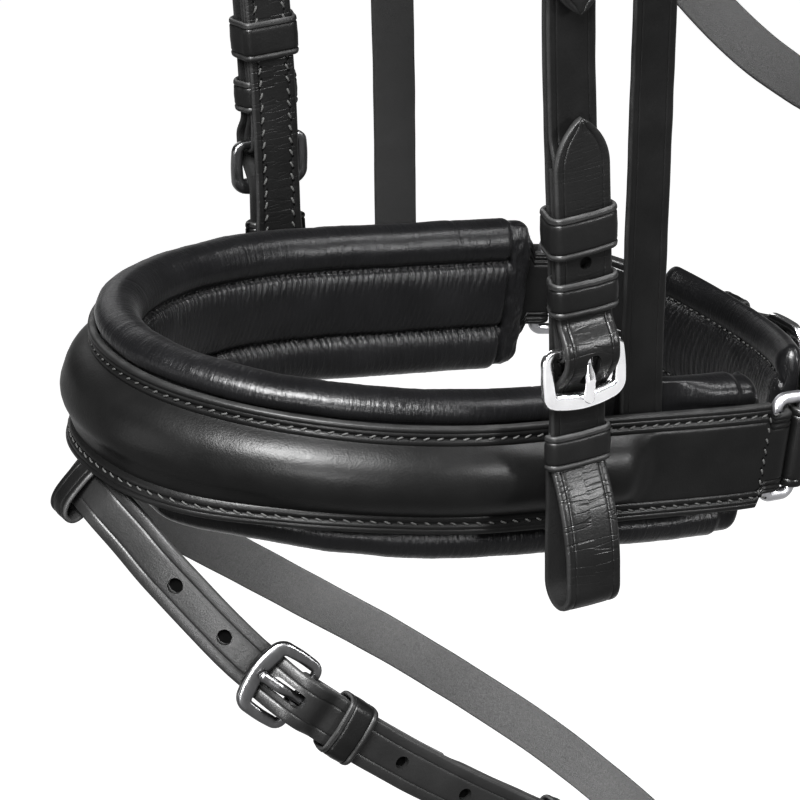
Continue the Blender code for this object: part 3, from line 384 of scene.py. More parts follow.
def metal(name, tone=(0.86, 0.86, 0.87), rough=0.17, scratch=0.5):
    mat, nt, shader = new_material(name)
    mm = in_mm(nt)
    marks = add_node(nt, "ShaderNodeTexNoise", Vector=in_mm(nt, "Object", (1.0, 1.0, 0.12)), Scale=1.6, Detail=6.0, Roughness=0.7)
    cloud = add_node(nt, "ShaderNodeTexNoise", Vector=mm, Scale=0.25, Detail=3.0, Roughness=0.5)
    shader.inputs["Metallic"].default_value = 1.0
    nt.links.new(mixed(nt, ramp(nt, cloud.outputs[0], 0.3, 0.75), tuple(c * 0.9 for c in tone), tone), shader.inputs["Base Color"])
    r = maths(nt, "ADD", rough, maths(nt, "MULTIPLY", maths(nt, "SUBTRACT", marks.outputs[0], 0.45), 0.22 * scratch))
    nt.links.new(maths(nt, "MAXIMUM", r, 0.06), shader.inputs["Roughness"])
    nt.links.new(bump(nt, marks.outputs[0], 0.012 * scratch), shader.inputs["Normal"])
    return mat


def thread_material(name, tone):
    mat, nt, shader = new_material(name)
    mm = in_mm(nt)
    twist = add_node(nt, "ShaderNodeTexNoise", Vector=mm, Scale=2.6, Detail=3.0, Roughness=0.6)
    nt.links.new(mixed(nt, ramp(nt, twist.outputs[0], 0.3, 0.7), tuple(c * 0.6 for c in tone), tone), shader.inputs["Base Color"])
    nt.links.new(maths(nt, "ADD", 0.5, maths(nt, "MULTIPLY", twist.outputs[0], 0.2)), shader.inputs["Roughness"])
    shader.inputs["Specular IOR Level"].default_value = 0.06
    nt.links.new(bump(nt, twist.outputs[0], 0.08), shader.inputs["Normal"])
    return mat


# Painted shade for the stitch holes: a near-black surface with no specular, for the dark inside each hole.
def hole_material():
    mat, nt, shader = new_material("stitch_hole")
    mm = in_mm(nt)
    depth = add_node(nt, "ShaderNodeTexNoise", Vector=mm, Scale=3.0, Detail=3.0, Roughness=0.6)
    nt.links.new(mixed(nt, depth.outputs[0], (0.0006, 0.0006, 0.0006), (0.0015, 0.0015, 0.0015)), shader.inputs["Base Color"])
    shader.inputs["Roughness"].default_value = 0.95
    shader.inputs["Specular IOR Level"].default_value = 0.0
    return mat


STRAP_MAT = leather("bridle_leather")
BILLET_MAT = leather("billet_leather", rough=0.34, wrinkled=True, specular=0.10, flesh=(0.0012, 0.0012, 0.0012))
KEEPER_MAT = leather("keeper_leather", rough=0.36, base=(0.0018, 0.0018, 0.0019), rubbed=(0.020, 0.0195, 0.019))
NOSE_MAT = leather("noseband_leather", rough=0.37, base=(0.0016, 0.0016, 0.0017), grain=0.045)
FLASH_MAT = leather("flash_leather", rough=0.42, base=(0.0030, 0.0030, 0.0031), flesh=(0.036, 0.0355, 0.035), specular=0.135)
THROAT_MAT = leather("throatlatch_leather", rough=0.43, flesh=(0.019, 0.0186, 0.018))
SOFT_MAT = soft_leather("lining_leather")
STEEL_MAT = metal("buckle_steel")
# A much darker copy of the buckle steel, for the far lower buckle and the flash buckle: painted shade.
SHADED_STEEL_MAT = metal("steel_painted_shade", tone=(0.10, 0.10, 0.102), rough=0.30, scratch=0.8)
# A darker copy of the buckle steel for the crank rings: painted shade.
RING_MAT = metal("ring_steel", tone=(0.30, 0.30, 0.31), rough=0.36, scratch=0.8)
THREAD_GREY = thread_material("grey_thread", (0.017, 0.017, 0.0167))
THREAD_BLACK = thread_material("black_thread", (0.0035, 0.0035, 0.0036))
HOLE_MAT = hole_material()


# ---------------------------------------------------------------- meshes
def grid_mesh(name, rings, run, material, around=None, flesh=None, edge=None, gather=None, wear=None, smooth=38.0,
              loop=False, caps=True):
    """A closed solid through rings of points (stations, points round, 3)."""
    n, m, _ = rings.shape
    co = rings.reshape(-1, 3) * MM
    rows = n if loop else n - 1
    i, j = np.meshgrid(np.arange(rows), np.arange(m), indexing="ij")
    i2, j2 = (i + 1) % n, (j + 1) % m
    quads = np.stack([i * m + j, i * m + j2, i2 * m + j2, i2 * m + j], -1).reshape(-1, 4)
    faces = quads.tolist()
    if caps and not loop:
        faces.append(list(range(m - 1, -1, -1)))
        faces.append([(n - 1) * m + k for k in range(m)])
    mesh = bpy.data.meshes.new(name)
    mesh.from_pydata(co.tolist(), [], faces)
    run = np.asarray(run, float)
    if around is None:
        step = np.linalg.norm(np.roll(rings, -1, axis=1) - rings, axis=2).mean(0)
        around = np.concatenate([[0.0], np.cumsum(step)])
    run2 = np.concatenate([run, [run[-1] + (run[-1] - run[-2])]])
    uv = np.zeros((len(mesh.loops), 2), np.float32)
    a = np.stack([np.stack([run2[i], around[j]], -1), np.stack([run2[i], around[j + 1]], -1),
                  np.stack([run2[i + 1], around[j + 1]], -1), np.stack([run2[i + 1], around[j]], -1)], 2)
    uv[: quads.size] = a.reshape(-1, 2) / 100.0
    layer = mesh.uv_layers.new(name="run")
    layer.data.foreach_set("uv", uv.ravel())
    for key, value in (("flesh", flesh), ("edge", edge), ("gather", gather), ("wear", wear)):
        if value is None:
            continue
        data = mesh.attributes.new(key, "FLOAT", "POINT")
        data.data.foreach_set("value", np.broadcast_to(value, (n, m)).astype(np.float32).ravel())
    bm = bmesh.new()
    bm.from_mesh(mesh)
    bmesh.ops.recalc_face_normals(bm, faces=bm.faces)
    bm.to_mesh(mesh)
    bm.free()
    mesh.polygons.foreach_set("use_smooth", [True] * len(mesh.polygons))
    mesh.set_sharp_from_angle(angle=math.radians(smooth))
    mesh.materials.append(material)
    obj = bpy.data.objects.new(name, mesh)
    bpy.context.scene.collection.objects.link(obj)
    return obj


def normals_of(rings, loop=False, closed=True):
    """Outward-ish normals of a grid of points, by central differences."""
    if loop:
        ds = np.roll(rings, -1, 0) - np.roll(rings, 1, 0)
    else:
        ds = np.gradient(rings, axis=0)
    da = np.roll(rings, -1, 1) - np.roll(rings, 1, 1)
    n = np.cross(ds, da)
    n /= np.maximum(np.linalg.norm(n, axis=2, keepdims=True), 1e-9)
    centre = rings.mean(1, keepdims=True)
    flip = np.sign(((rings - centre) * n).sum(2).mean(1))
    flip[flip == 0] = 1
    return n * flip[:, None, None]


def cutter_object(mesh_maker):
    bm = bmesh.new()
    mesh_maker(bm)
    mesh = bpy.data.meshes.new("cutter")
    bm.to_mesh(mesh)
    bm.free()
    obj = bpy.data.objects.new("cutter", mesh)
    bpy.context.scene.collection.objects.link(obj)
    return obj


def oval(origin, along, out, length, width, depth):
    """A cutter of oval outline: long side along, its depth along out, in mm."""
    across = along.cross(out)
    points = []
    r = width / 2
    straight = max(0.0, length / 2 - r)
    for k in range(28):
        t = 2 * math.pi * k / 28
        x, y = r * math.cos(t), r * math.sin(t)
        points.append((x + (straight if x > 0 else -straight), y))

    def make(bm):
        low = [bm.verts.new((Vector(origin) + along * x + across * y - out * depth / 2) * MM) for x, y in points]
        high = [bm.verts.new((Vector(origin) + along * x + across * y + out * depth / 2) * MM) for x, y in points]
        bm.faces.new(list(reversed(low)))
        bm.faces.new(high)
        for k in range(28):
            q = (k + 1) % 28
            bm.faces.new((low[k], low[q], high[q], high[k]))
        bmesh.ops.recalc_face_normals(bm, faces=bm.faces)

    return cutter_object(make)


def cut_out(obj, cutters):
    """Takes the cutters out of the object and leaves a plain mesh."""
    for cutter in cutters:
        modifier = obj.modifiers.new("cut", "BOOLEAN")
        modifier.operation = "DIFFERENCE"
        modifier.solver = "EXACT"
        modifier.object = cutter
    dg = bpy.context.evaluated_depsgraph_get()
    mesh = bpy.data.meshes.new_from_object(obj.evaluated_get(dg))
    obj.modifiers.clear()
    obj.data = mesh
    mesh.set_sharp_from_angle(angle=math.radians(38))
    for cutter in cutters:
        bpy.data.objects.remove(cutter, do_unlink=True)


def belongs(obj, body, nodes=()):
    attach(obj, body)
    if nodes:
        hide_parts(*([nodes] if isinstance(nodes, str) else nodes))
    return obj


# ---------------------------------------------------------------- straps
def finer(path, most=1.6, times=2):
    """The path with its corners taken off and no long segments."""
    pts = [np.array(path[0], float)]
    for p in path[1:]:
        p = np.array(p, float)
        length = np.linalg.norm(p - pts[-1])
        if length < 1e-6:
            continue
        k = max(1, int(math.ceil(length / most)))
        start = pts[-1]
        pts += [start + (p - start) * (q + 1) / k for q in range(k)]
    for _ in range(times):
        out = [pts[0]]
        for a, b in zip(pts, pts[1:]):
            out += [a * 0.75 + b * 0.25, a * 0.25 + b * 0.75]
        out.append(pts[-1])
        pts = out
    return np.array(pts)


class Track:
    """A strap's middle line in space, with its directions at every station."""

    def __init__(self, guide, path, step=1.0, tip=0.0, tail=0.0, side=0.0):
        pts = finer(path)
        run = np.concatenate([[0.0], np.cumsum(np.linalg.norm(np.diff(pts, axis=0), axis=1))])
        total = run[-1]
        stops = list(np.linspace(0, total, max(8, int(total / step)) + 1))
        for length, start, sign in ((tip, total, -1), (tail, 0.0, 1)):
            if length:
                stops = [x for x in stops if abs(x - start) > length]
                stops += [start + sign * length * q for q in
                          (0, .004, .015, .035, .06, .09, .125, .17, .22, .28, .34, .41, .48, .56, .64, .72, .8, .88, .95, 1)]
        stops = np.array(sorted(stops))
        s = np.interp(stops, run, pts[:, 0])
        u = np.interp(stops, run, pts[:, 1])
        centre, across = [], []
        for a, b in zip(s, u):
            p, _, out, acr = guide.at(a)
            centre.append(p + out * b + acr * (side(a) if callable(side) else side))
            across.append(acr)
        self.s, self.u, self.run = s, u, stops
        self.p = np.array(centre)
        a = np.array(across)
        t = np.gradient(self.p, axis=0)
        t /= np.linalg.norm(t, axis=1, keepdims=True)
        a -= t * (a * t).sum(1, keepdims=True)
        a /= np.linalg.norm(a, axis=1, keepdims=True)
        self.t, self.a, self.n = t, a, np.cross(a, t)
        self.total = total


TOP = [(3.1, 0.02), (2.35, 0.0), (2.05, -0.07), (1.8, -0.24), (1.55, -0.07), (1.25, 0.0), (0.75, -0.03), (0.34, -0.17), (0.1, -0.42)]
PLAIN_TOP = [(2.6, 0.0), (1.6, 0.0), (0.8, -0.03), (0.36, -0.16), (0.1, -0.40)]
BOTTOM = [(0.1, 0.36), (0.32, 0.12), (0.7, 0.0)]


def strap_section(half, t2, grain=1, crease=True, crown=0.08, inset=2.2):
    """Section of a strap for each station: across and normal offsets, and how much is flesh side and edge."""
    top = TOP if crease else PLAIN_TOP
    k = np.clip(half / 3.5, 0.004, 1.0)
    thin = np.clip(t2 / 0.7, 0.3, 1.0)
    top = [(da + (inset - 1.8 if da > 1.2 else 0.0), dn) for da, dn in top]
    right = [((half - top[0][0] * k) * 0.5, t2 + crown * k * 0.7)]
    right += [(half - da * k, t2 + dn * k * thin) for da, dn in top]
    right += [(half, t2 * 0.0)]
    right += [(half - da * k, -t2 + dn * k * thin) for da, dn in BOTTOM]
    flesh = [0] * (1 + len(top)) + [0.25] + [0.6, 1, 1]
    edge = [0] * (1 + len(top) - 2) + [0.45, 1.0] + [1.0] + [0.8, 0.3, 0]
    left = [(-a, n) for a, n in reversed(right)]
    cols = [(half * 0, t2 + crown * k)] + right + [(half * 0, -t2)] + left
    fl = [0] + flesh + [1] + flesh[::-1]
    ed = [0] + edge + [0] + edge[::-1]
    sec = np.stack([np.stack([a + half * 0, n * grain + half * 0], -1) for a, n in cols], 1)
    return sec, np.array(fl, float), np.array(ed, float)


def gothic(x, tip, half):
    """Half width at a distance from a pointed end."""
    r = (tip * tip + half * half) / (2 * half)
    return np.sqrt(np.maximum(0.0, r * r - (tip - x) ** 2)) - (r - half)


def fine_strap(name, track, width, thick, material, grain=1, tip=0.0, tail=0.0, crease=True, wave=0.12, wear=None,
               seed=3, thickness=None, tip_shape="point", tail_shape="round", crown=0.08, inset=2.2):
    run, total = track.run, track.total
    half = (np.array([width(d) for d in run]) if callable(width) else np.full(len(run), float(width))) / 2
    t2 = np.full(len(run), thick / 2.0)
    if thickness is not None:
        t2 = np.array([thickness(d) for d in run]) / 2
    for length, dist, shape in ((tip, total - run, tip_shape), (tail, run, tail_shape)):
        if length:
            x = np.minimum(dist, length)
            if shape == "point":
                part = gothic(x, length, half)
            else:
                part = half * np.sqrt(np.maximum(0.0, 1 - (1 - x / length) ** 2))
            half = np.where(dist < length, np.maximum(part, 0.03), half)
            thin = smooth01(dist / 1.2) * 0.35 + 0.65
            t2 = t2 * thin
    sec, flesh, edge = strap_section(half, t2, grain, crease, crown, inset)
    a, n = sec[..., 0], sec[..., 1]
    # Small unevenness of a hand-cut strap: it undulates and its width varies a little.
    lift = wave * vnoise(run / 17.0, 0, seed) + wave * 0.5 * vnoise(run / 6.0, 3, seed)
    fade = smooth01(np.minimum(run, total - run) / 6.0)
    lift = (lift * fade)[:, None]
    a = a * (1 + 0.008 * vnoise(run / 9.0, 7, seed)[:, None])
    rings = track.p[:, None] + track.a[:, None] * a[..., None] + track.n[:, None] * (n + lift)[..., None]
    return grid_mesh(name, rings, run, material, flesh=flesh[None], edge=edge[None],
                     wear=None if wear is None else np.asarray(wear, float)[:, None])


# ---------------------------------------------------------------- stitches
class Stitches:
    """Threads, and near-black discs of painted shade for the holes between them, collected for one object."""

    def __init__(self):
        self.threads, self.holes = [], []

    def row(self, points, normals, pitch, length, slant=22.0, radius=0.36, start=0.0, end=None, closed=False, sink=0.12):
        points, normals = np.asarray(points), np.asarray(normals)
        run = np.concatenate([[0.0], np.cumsum(np.linalg.norm(np.diff(points, axis=0), axis=1))])
        end = run[-1] if end is None else end
        count = max(1, int(round((end - start) / pitch)))
        step = (end - start) / count
        for i in range(count):
            d = start + step * (i + 0.5)
            d += 0.10 * float(vnoise(d * 0.91, 5.0, 11))
            p = np.array([np.interp(d, run, points[:, k]) for k in range(3)])
            q = np.array([np.interp(d + 0.4, run, points[:, k]) for k in range(3)])
            r = np.array([np.interp(d - 0.4, run, points[:, k]) for k in range(3)])
            n = np.array([np.interp(d, run, normals[:, k]) for k in range(3)])
            t = (q - r) / np.linalg.norm(q - r)
            n -= t * n.dot(t)
            n /= np.linalg.norm(n)
            side = np.cross(n, t)
            angle = math.radians(slant + 4 * float(vnoise(d * 1.7, 2.0, 5)))
            along = t * math.cos(angle) + side * math.sin(angle)
            half = length / 2 * (1 + 0.05 * float(vnoise(d * 1.3, 9.0, 5)))
            self.threads.append((p, along, n, np.cross(n, along), half, radius, sink))
            for sign in (-1, 1):
                self.holes.append((p + along * half * sign * 0.93, t, n, np.cross(n, t), radius * 1.35))

    def make(self, name, body, thread, parent_slot=None):
        rings, sides = 7, 8
        verts, faces, mats = [], [], []
        for p, x, n, y, half, radius, sink in self.threads:
            base = len(verts)
            for i in range(rings):
                t = -1 + 2 * i / (rings - 1)
                swell = math.sqrt(max(0.02, 1 - abs(t) ** 3.2))
                up = radius * 0.35 + (1 - t * t) * radius * 0.55 - sink - abs(t) ** 4 * radius * 0.9
                for j in range(sides):
                    a = 2 * math.pi * j / sides
                    verts.append(p + x * half * t + y * math.cos(a) * radius * swell + n * (up + math.sin(a) * radius * 0.85 * swell))
            for i in range(rings - 1):
                for j in range(sides):
                    k = (j + 1) % sides
                    faces.append((base + i * sides + j, base + i * sides + k, base + (i + 1) * sides + k, base + (i + 1) * sides + j))
                    mats.append(0)
            faces.append(tuple(base + j for j in reversed(range(sides))))
            faces.append(tuple(base + (rings - 1) * sides + j for j in range(sides)))
            mats += [0, 0]
        # Each hole is a short near-black plug whose top lies just proud of the leather: painted shade.
        for p, x, n, y, radius in self.holes:
            base = len(verts)
            for j in range(8):
                a = 2 * math.pi * j / 8
                verts.append(p + x * math.cos(a) * radius + y * math.sin(a) * radius * 0.8 + n * 0.035)
            for j in range(8):
                a = 2 * math.pi * j / 8
                verts.append(p + x * math.cos(a) * radius * 0.9 + y * math.sin(a) * radius * 0.7 - n * 0.25)
            faces.append(tuple(base + j for j in range(8)))
            faces.append(tuple(base + 8 + j for j in reversed(range(8))))
            mats += [1, 1]
            for j in range(8):
                k = (j + 1) % 8
                faces.append((base + j, base + 8 + j, base + 8 + k, base + k))
                mats.append(1)
        mesh = bpy.data.meshes.new(name)
        mesh.from_pydata((np.array(verts) * MM).tolist(), [], faces)
        mesh.materials.append(thread)
        mesh.materials.append(HOLE_MAT)
        mesh.polygons.foreach_set("material_index", mats)
        bm = bmesh.new()
        bm.from_mesh(mesh)
        bmesh.ops.recalc_face_normals(bm, faces=bm.faces)
        bm.to_mesh(mesh)
        bm.free()
        mesh.polygons.foreach_set("use_smooth", [True] * len(mesh.polygons))
        mesh.set_sharp_from_angle(angle=math.radians(50))
        obj = bpy.data.objects.new(name, mesh)
        bpy.context.scene.collection.objects.link(obj)
        return belongs(obj, body)


def edge_rows(stitches, track, lo, hi, inset, half, level, grain, pitch, length, slant=22, radius=0.3, which=None, sides=(-1, 1)):
    """Stitch rows beside both edges of a strap, for the stations from lo to hi in s."""
    keep = (track.s > min(lo, hi)) & (track.s < max(lo, hi))
    if which is not None:
        keep &= which(track)
    for side in sides:
        a = side * (half - inset)
        pts = track.p[keep] + track.a[keep] * a + track.n[keep] * (level * grain)
        stitches.row(pts, track.n[keep] * grain, pitch, length, slant * side, radius)


# ---------------------------------------------------------------- keepers
def fine_keeper(name, guide, s, length, low, high, front_w, back_w, body, node, thick=1.25, slack=0.35, crown=0.35, seed=1, lean=0.0):
    """A leather loop round a strap, with two creased lines, wider in front than behind."""
    origin, along, out, across = guide.at(s)
    wf, wb = front_w / 2 + slack + thick / 2, back_w / 2 + slack + thick / 2
    lo, hi = low - slack * 0.6 - thick / 2, high + slack * 0.6 + thick / 2
    rc_f, rc_b = 2.3, 1.7
    outline = []

    def corner(cx, cy, r, a0, a1):
        for q in range(7):
            t = math.radians(a0 + (a1 - a0) * q / 6)
            outline.append((cx + r * math.cos(t), cy + r * math.sin(t)))

    # across and out, from the middle of the front, round, and back
    for q in range(9):
        w = wf - rc_f
        outline.append((w * q / 8, hi + crown * (1 - (q / 8) ** 2)))
    corner(wf - rc_f, hi - rc_f, rc_f, 84, 0)
    for q in range(1, 6):
        t = q / 6
        outline.append((wf + (wb - wf) * smooth01(t) + 0.12 * math.sin(math.pi * t), hi - rc_f + (lo + rc_b - hi + rc_f) * t))
    corner(wb - rc_b, lo + rc_b, rc_b, 0, -90)
    for q in range(1, 8):
        outline.append(((wb - rc_b) * (1 - q / 8), lo))
    right = outline[:]
    outline = right + [(0.0, lo)] + [(-x, y) for x, y in reversed(right[1:])]
    pts = np.array(outline)
    tangent = np.roll(pts, -1, 0) - np.roll(pts, 1, 0)
    normal = np.stack([-tangent[:, 1], tangent[:, 0]], 1)
    normal /= np.linalg.norm(normal, axis=1, keepdims=True)
    middle = np.array([0.0, (lo + hi) / 2])
    normal *= np.sign(((pts - middle) * normal).sum(1))[:, None]
    h, t2 = length / 2, thick / 2
    side = [(h - 3.0, 0.0), (h - 2.25, 0.0), (h - 1.95, -0.10), (h - 1.7, -0.34), (h - 1.45, -0.08), (h - 1.15, 0.06), (h - 0.6, -0.02), (h - 0.26, -0.17), (h - 0.06, -0.42)]
    rows = [(0.0, t2 + 0.10)] + [(a, t2 + n) for a, n in side] + [(h, 0.0)] + [(h - 0.08, -t2 + 0.35), (h - 0.3, -t2 + 0.1), (h - 0.6, -t2)]
    edge = [0] + [0] * 4 + [0.35, 0.5, 0.1] + [0.5, 1.0, 1.0, 0.8, 0.3, 0]
    flesh = [0] * 10 + [0.2, 0.6, 1, 1]
    rows = rows + [(0.0, -t2)] + [(-a, n) for a, n in reversed(rows[1:])]
    edge = edge + [0] + edge[1:][::-1]
    flesh = flesh + [1] + flesh[1:][::-1]
    l_off = np.array([r[0] for r in rows])
    n_off = np.array([r[1] for r in rows])
    o, al, ou, ac = (np.array(v) for v in (origin, along, out, across))
    k = np.arange(len(pts))
    around = np.linalg.norm(np.roll(pts, -1, 0) - pts, axis=1).cumsum()
    bow = 0.16 * vnoise(around / 5.0, seed, 21)
    slide = lean * pts[:, 0] / wf + 0.12 * vnoise(around / 9.0, seed, 4)
    ring2 = pts[:, None] + normal[:, None] * (n_off[None, :, None] + 0.05 * vnoise(around / 2.2, seed, 9)[:, None, None])
    rings = (o + ac * ring2[..., 0:1] + ou * ring2[..., 1:2]
             + al * (l_off[None, :, None] * (1 + 0.03 * bow[:, None, None]) + slide[:, None, None]))
    obj = grid_mesh(name, rings, np.concatenate([[0.0], around[:-1]]), KEEPER_MAT, flesh=np.array(flesh, float)[None],
                    edge=np.array(edge, float)[None], loop=True)
    return belongs(obj, body, node)


# ---------------------------------------------------------------- buckles
def fine_buckle(name, guide, s_h, d, base, width, body, tongue_body, bow=0.9, mat=None):
    """A cast frame with a broad far bar and a flat tongue that curls round the hinge bar."""
    mat = mat or STEEL_MAT
    origin, along, out, across = guide.at(s_h)
    o, al, ou, ac = (np.array(v) for v in (origin, along * d, out, across))
    half = width / 2 + BUCKLE_SIDE
    u_b = base + HINGE_UP
    u_f = base + BILLET + 0.35 + 1.5
    far = BUCKLE_L - 1.5
    # s, u, w, half width in the plane, half thickness
    right = []
    for q in range(7):
        right.append((0.0, u_b, (half - 2.2) * q / 6, 1.15, 1.15))
    for q in range(1, 7):
        t = math.radians(90 * q / 6)
        right.append((1.9 * (1 - math.cos(t)), u_b, half - 2.2 + 2.2 * math.sin(t), 1.15 + 0.35 * q / 6, 1.15))
    for q in range(1, 10):
        t = q / 10
        right.append((1.9 + (far - 2.6 - 1.9) * t, u_b + (u_f - u_b) * t, half + 0.18 * math.sin(math.pi * t), 1.5 + 0.15 * t, 1.15 + 0.05 * t))
    for q in range(0, 9):
        t = math.radians(90 * q / 8)
        right.append((far - 2.6 + 2.6 * math.sin(t), u_f, half - 2.8 + 2.8 * math.cos(t), 1.65 + 0.55 * q / 8, 1.22))
    for q in range(1, 9):
        w = (half - 2.8) * (1 - q / 8)
        right.append((far + bow * (1 - (w / (half - 2.8)) ** 2), u_f, w, 2.2 + 0.1 * q / 8, 1.25))
    loop = right + [(s, u, -w, a, b) for s, u, w, a, b in reversed(right[1:-1])]
    loop = np.array(loop)
    pts = o + al * loop[:, 0:1] + ou * loop[:, 1:2] + ac * loop[:, 2:3]
    t = np.roll(pts, -1, 0) - np.roll(pts, 1, 0)
    t /= np.linalg.norm(t, axis=1, keepdims=True)
    up = np.tile(ou, (len(pts), 1))
    up -= t * (up * t).sum(1, keepdims=True)
    up /= np.linalg.norm(up, axis=1, keepdims=True)
    side = np.cross(t, up)
    m = 20
    ang = np.arange(m) * 2 * np.pi / m
    power = 0.58
    cx = np.sign(np.cos(ang)) * np.abs(np.cos(ang)) ** power
    cy = np.sign(np.sin(ang)) * np.abs(np.sin(ang)) ** power
    rings = pts[:, None] + side[:, None] * (loop[:, 3:4] * cx)[..., None] + up[:, None] * (loop[:, 4:5] * cy)[..., None]
    run = np.linalg.norm(np.roll(pts, -1, 0) - pts, axis=1).cumsum()
    frame_obj = grid_mesh(name + "_frame_cast", rings, run, mat, loop=True, smooth=60)
    belongs(frame_obj, body, name + "_frame")

    # tongue, in the plane along the strap
    reach = BAR_R + 0.22 + TONGUE_R
    path = [(reach * math.cos(math.radians(a)), reach * math.sin(math.radians(a))) for a in range(-78, -262, -12)]
    path += [(-0.1, reach), (2.5, reach + 0.15), (BUCKLE_L * 0.52, reach + 1.2), (BUCKLE_L - 3.4, u_f - u_b + 1.5 + 0.1 + TONGUE_R),
             (BUCKLE_L - 0.6, u_f - u_b + 1.5 + 0.0 + TONGUE_R)]
    pts2 = finer(path, 0.8)
    run = np.concatenate([[0.0], np.cumsum(np.linalg.norm(np.diff(pts2, axis=0), axis=1))])
    total = run[-1]
    keep = [0]
    for q in range(1, len(run)):
        if run[q] - run[keep[-1]] > 0.33 or q == len(run) - 1:
            keep.append(q)
    pts2, run = pts2[keep], run[keep]
    ends = np.array([total - x for x in (1.2, 1.0, 0.8, 0.62, 0.46, 0.32, 0.2, 0.11, 0.04, 0.0)])
    stops = np.array(sorted([x for x in run if x < total - 1.3] + list(ends)))
    s2 = np.interp(stops, run, pts2[:, 0])
    u2 = np.interp(stops, run, pts2[:, 1]) + u_b
    pts3 = o + al * s2[:, None] + ou * u2[:, None]
    t = np.gradient(pts3, axis=0)
    t /= np.linalg.norm(t, axis=1, keepdims=True)
    sidev = np.tile(ac, (len(pts3), 1))
    upv = np.cross(sidev, t)
    flip = np.where((stops > total * 0.5), np.sign((upv * ou).sum(1)), 1)
    x = np.clip((total - stops) / 1.2, 0, 1)
    cap = np.sqrt(np.maximum(0.02, 1 - (1 - x) ** 2))
    wide = (1.18 + 0.22 * smooth01((s2 - 2.0) / 5.0)) * cap
    thick = np.full(len(stops), 0.98) * (0.35 + 0.65 * cap)
    cx, cy = np.cos(ang), np.sin(ang)
    rings = pts3[:, None] + sidev[:, None] * (wide[:, None] * cx)[..., None] + upv[:, None] * (thick[:, None] * cy)[..., None]
    tongue = grid_mesh(name + "_tongue_cast", rings, stops, mat, smooth=60)
    belongs(tongue, tongue_body, name + "_tongue")


def tongue_cutters(guide, s_h, d, base):
    """Cutters for the slot in the fold of the chape and for the hole in the billet."""
    p, along, out, across = guide.at(s_h)
    u_b = base + HINGE_UP
    fold = oval(p + out * u_b + along * d * 0.9, along, out, 9.8, 2 * TONGUE_R + 1.1, 9.6)
    hole = oval(p + out * (u_b + 3.0) + along * d * 4.6, along, out, 9.4, 3.9, 9.4)
    return fold, hole


def punch_cutter(guide, s, u, radius=2.0, depth=8.0):
    _, along, out, across = guide.at(s)
    return oval(place(guide, s, u), along, out, 2 * radius, 2 * radius, depth)


# ---------------------------------------------------------------- routes, as the frame has them
def head_route(sign, raise_u):
    base = catmull([(0, y, z) for y, z in HEAD], 10)
    out = []
    for i, p in enumerate(base):
        a, b = base[max(i - 1, 0)], base[min(i + 1, len(base) - 1)]
        t = (b - a).normalized()
        n = Vector((0, -t.z, t.y))
        q = p + n * raise_u
        out.append(Vector((0, q.y * -sign, q.z)))
    return out


def outward(p):
    return Vector((0, p.y, 0.0))


def crown_out(p):
    return Vector((0, p.y * 1.0, p.z + 70.0))


def over_head(raise_u, x=0.0):
    near, far = head_route(1, raise_u), head_route(-1, raise_u)
    return [Vector((x, p.y, p.z)) for p in reversed(far)] + [Vector((x, p.y, p.z)) for p in near[1:]]


CROWN = Guide(over_head(0.0), crown_out, smooth=0)
CROWN_MID = CROWN.total() / 2


def crown_s(z, sign):
    if sign > 0:
        return CROWN.find(2, z, CROWN_MID + 5, CROWN.total())
    return CROWN.find(2, z, 0, CROWN_MID - 5)


def cheek_guide(sign):
    forward = (lambda z: 0.0) if sign > 0 else (lambda z: 2.2 - 0.005 * (z + 118))
    return Guide([(x - forward(z), -sign * y, z) for x, y, z in CHEEK], outward)


def nose_z(x):
    return NOSE_Z - NOSE_TILT * (x + 9.0)


def nose_plan():
    near = [(NOSE_END_X + 6, -58.4), (NOSE_END_X - 10, -NOSE_HALF_W + 0.2), (20, -NOSE_HALF_W), (5, -NOSE_HALF_W)]
    a = NOSE_SIDE_X - NOSE_FRONT_X
    for deg in range(0, 91, 9):
        t = math.radians(deg)
        near.append((NOSE_SIDE_X - a * math.sin(t), -NOSE_HALF_W * math.cos(t)))
    far = []
    for x, y in reversed(near[:-1]):
        t = math.acos(min(1.0, -y / NOSE_HALF_W)) if x < NOSE_SIDE_X else 0.0
        far.append((x, -y * (1 - 0.03 * math.sin(2 * t))))
    return near + [(x + (FAR_LONGER if x > NOSE_END_X - 11 else 0.0), y) for x, y in far]


def nose_out(p):
    x = p.x - max(NOSE_SIDE_X, min(p.x, NOSE_END_X + 40))
    a = (NOSE_SIDE_X - NOSE_FRONT_X) / NOSE_HALF_W
    return Vector((x / a / a, p.y, 0))


NOSE = Guide([(x, y, nose_z(x)) for x, y in nose_plan()], nose_out, smooth=6)


def nose_point(s, u, h):
    p, _, out, across = NOSE.at(s)
    up = across if across.z > 0 else -across
    return p + out * u + up * h


# ---------------------------------------------------------------- soft pads
def closed_profile(points, count):
    """A smooth closed outline through points, at even spacing."""
    pts = [np.array(p, float) for p in points]
    n = len(pts)
    dense = []
    for i in range(n):
        a, b, c, d = pts[i - 1], pts[i], pts[(i + 1) % n], pts[(i + 2) % n]
        for k in range(12):
            t = k / 12
            dense.append(0.5 * ((2 * b) + (c - a) * t + (2 * a - 5 * b + 4 * c - d) * t * t + (3 * b - a - 3 * c + d) * t**3))
    dense = np.array(dense + [dense[0]])
    run = np.concatenate([[0.0], np.cumsum(np.linalg.norm(np.diff(dense, axis=0), axis=1))])
    at = np.linspace(0, run[-1], count, endpoint=False)
    return np.stack([np.interp(at, run, dense[:, 0]), np.interp(at, run, dense[:, 1])], 1)


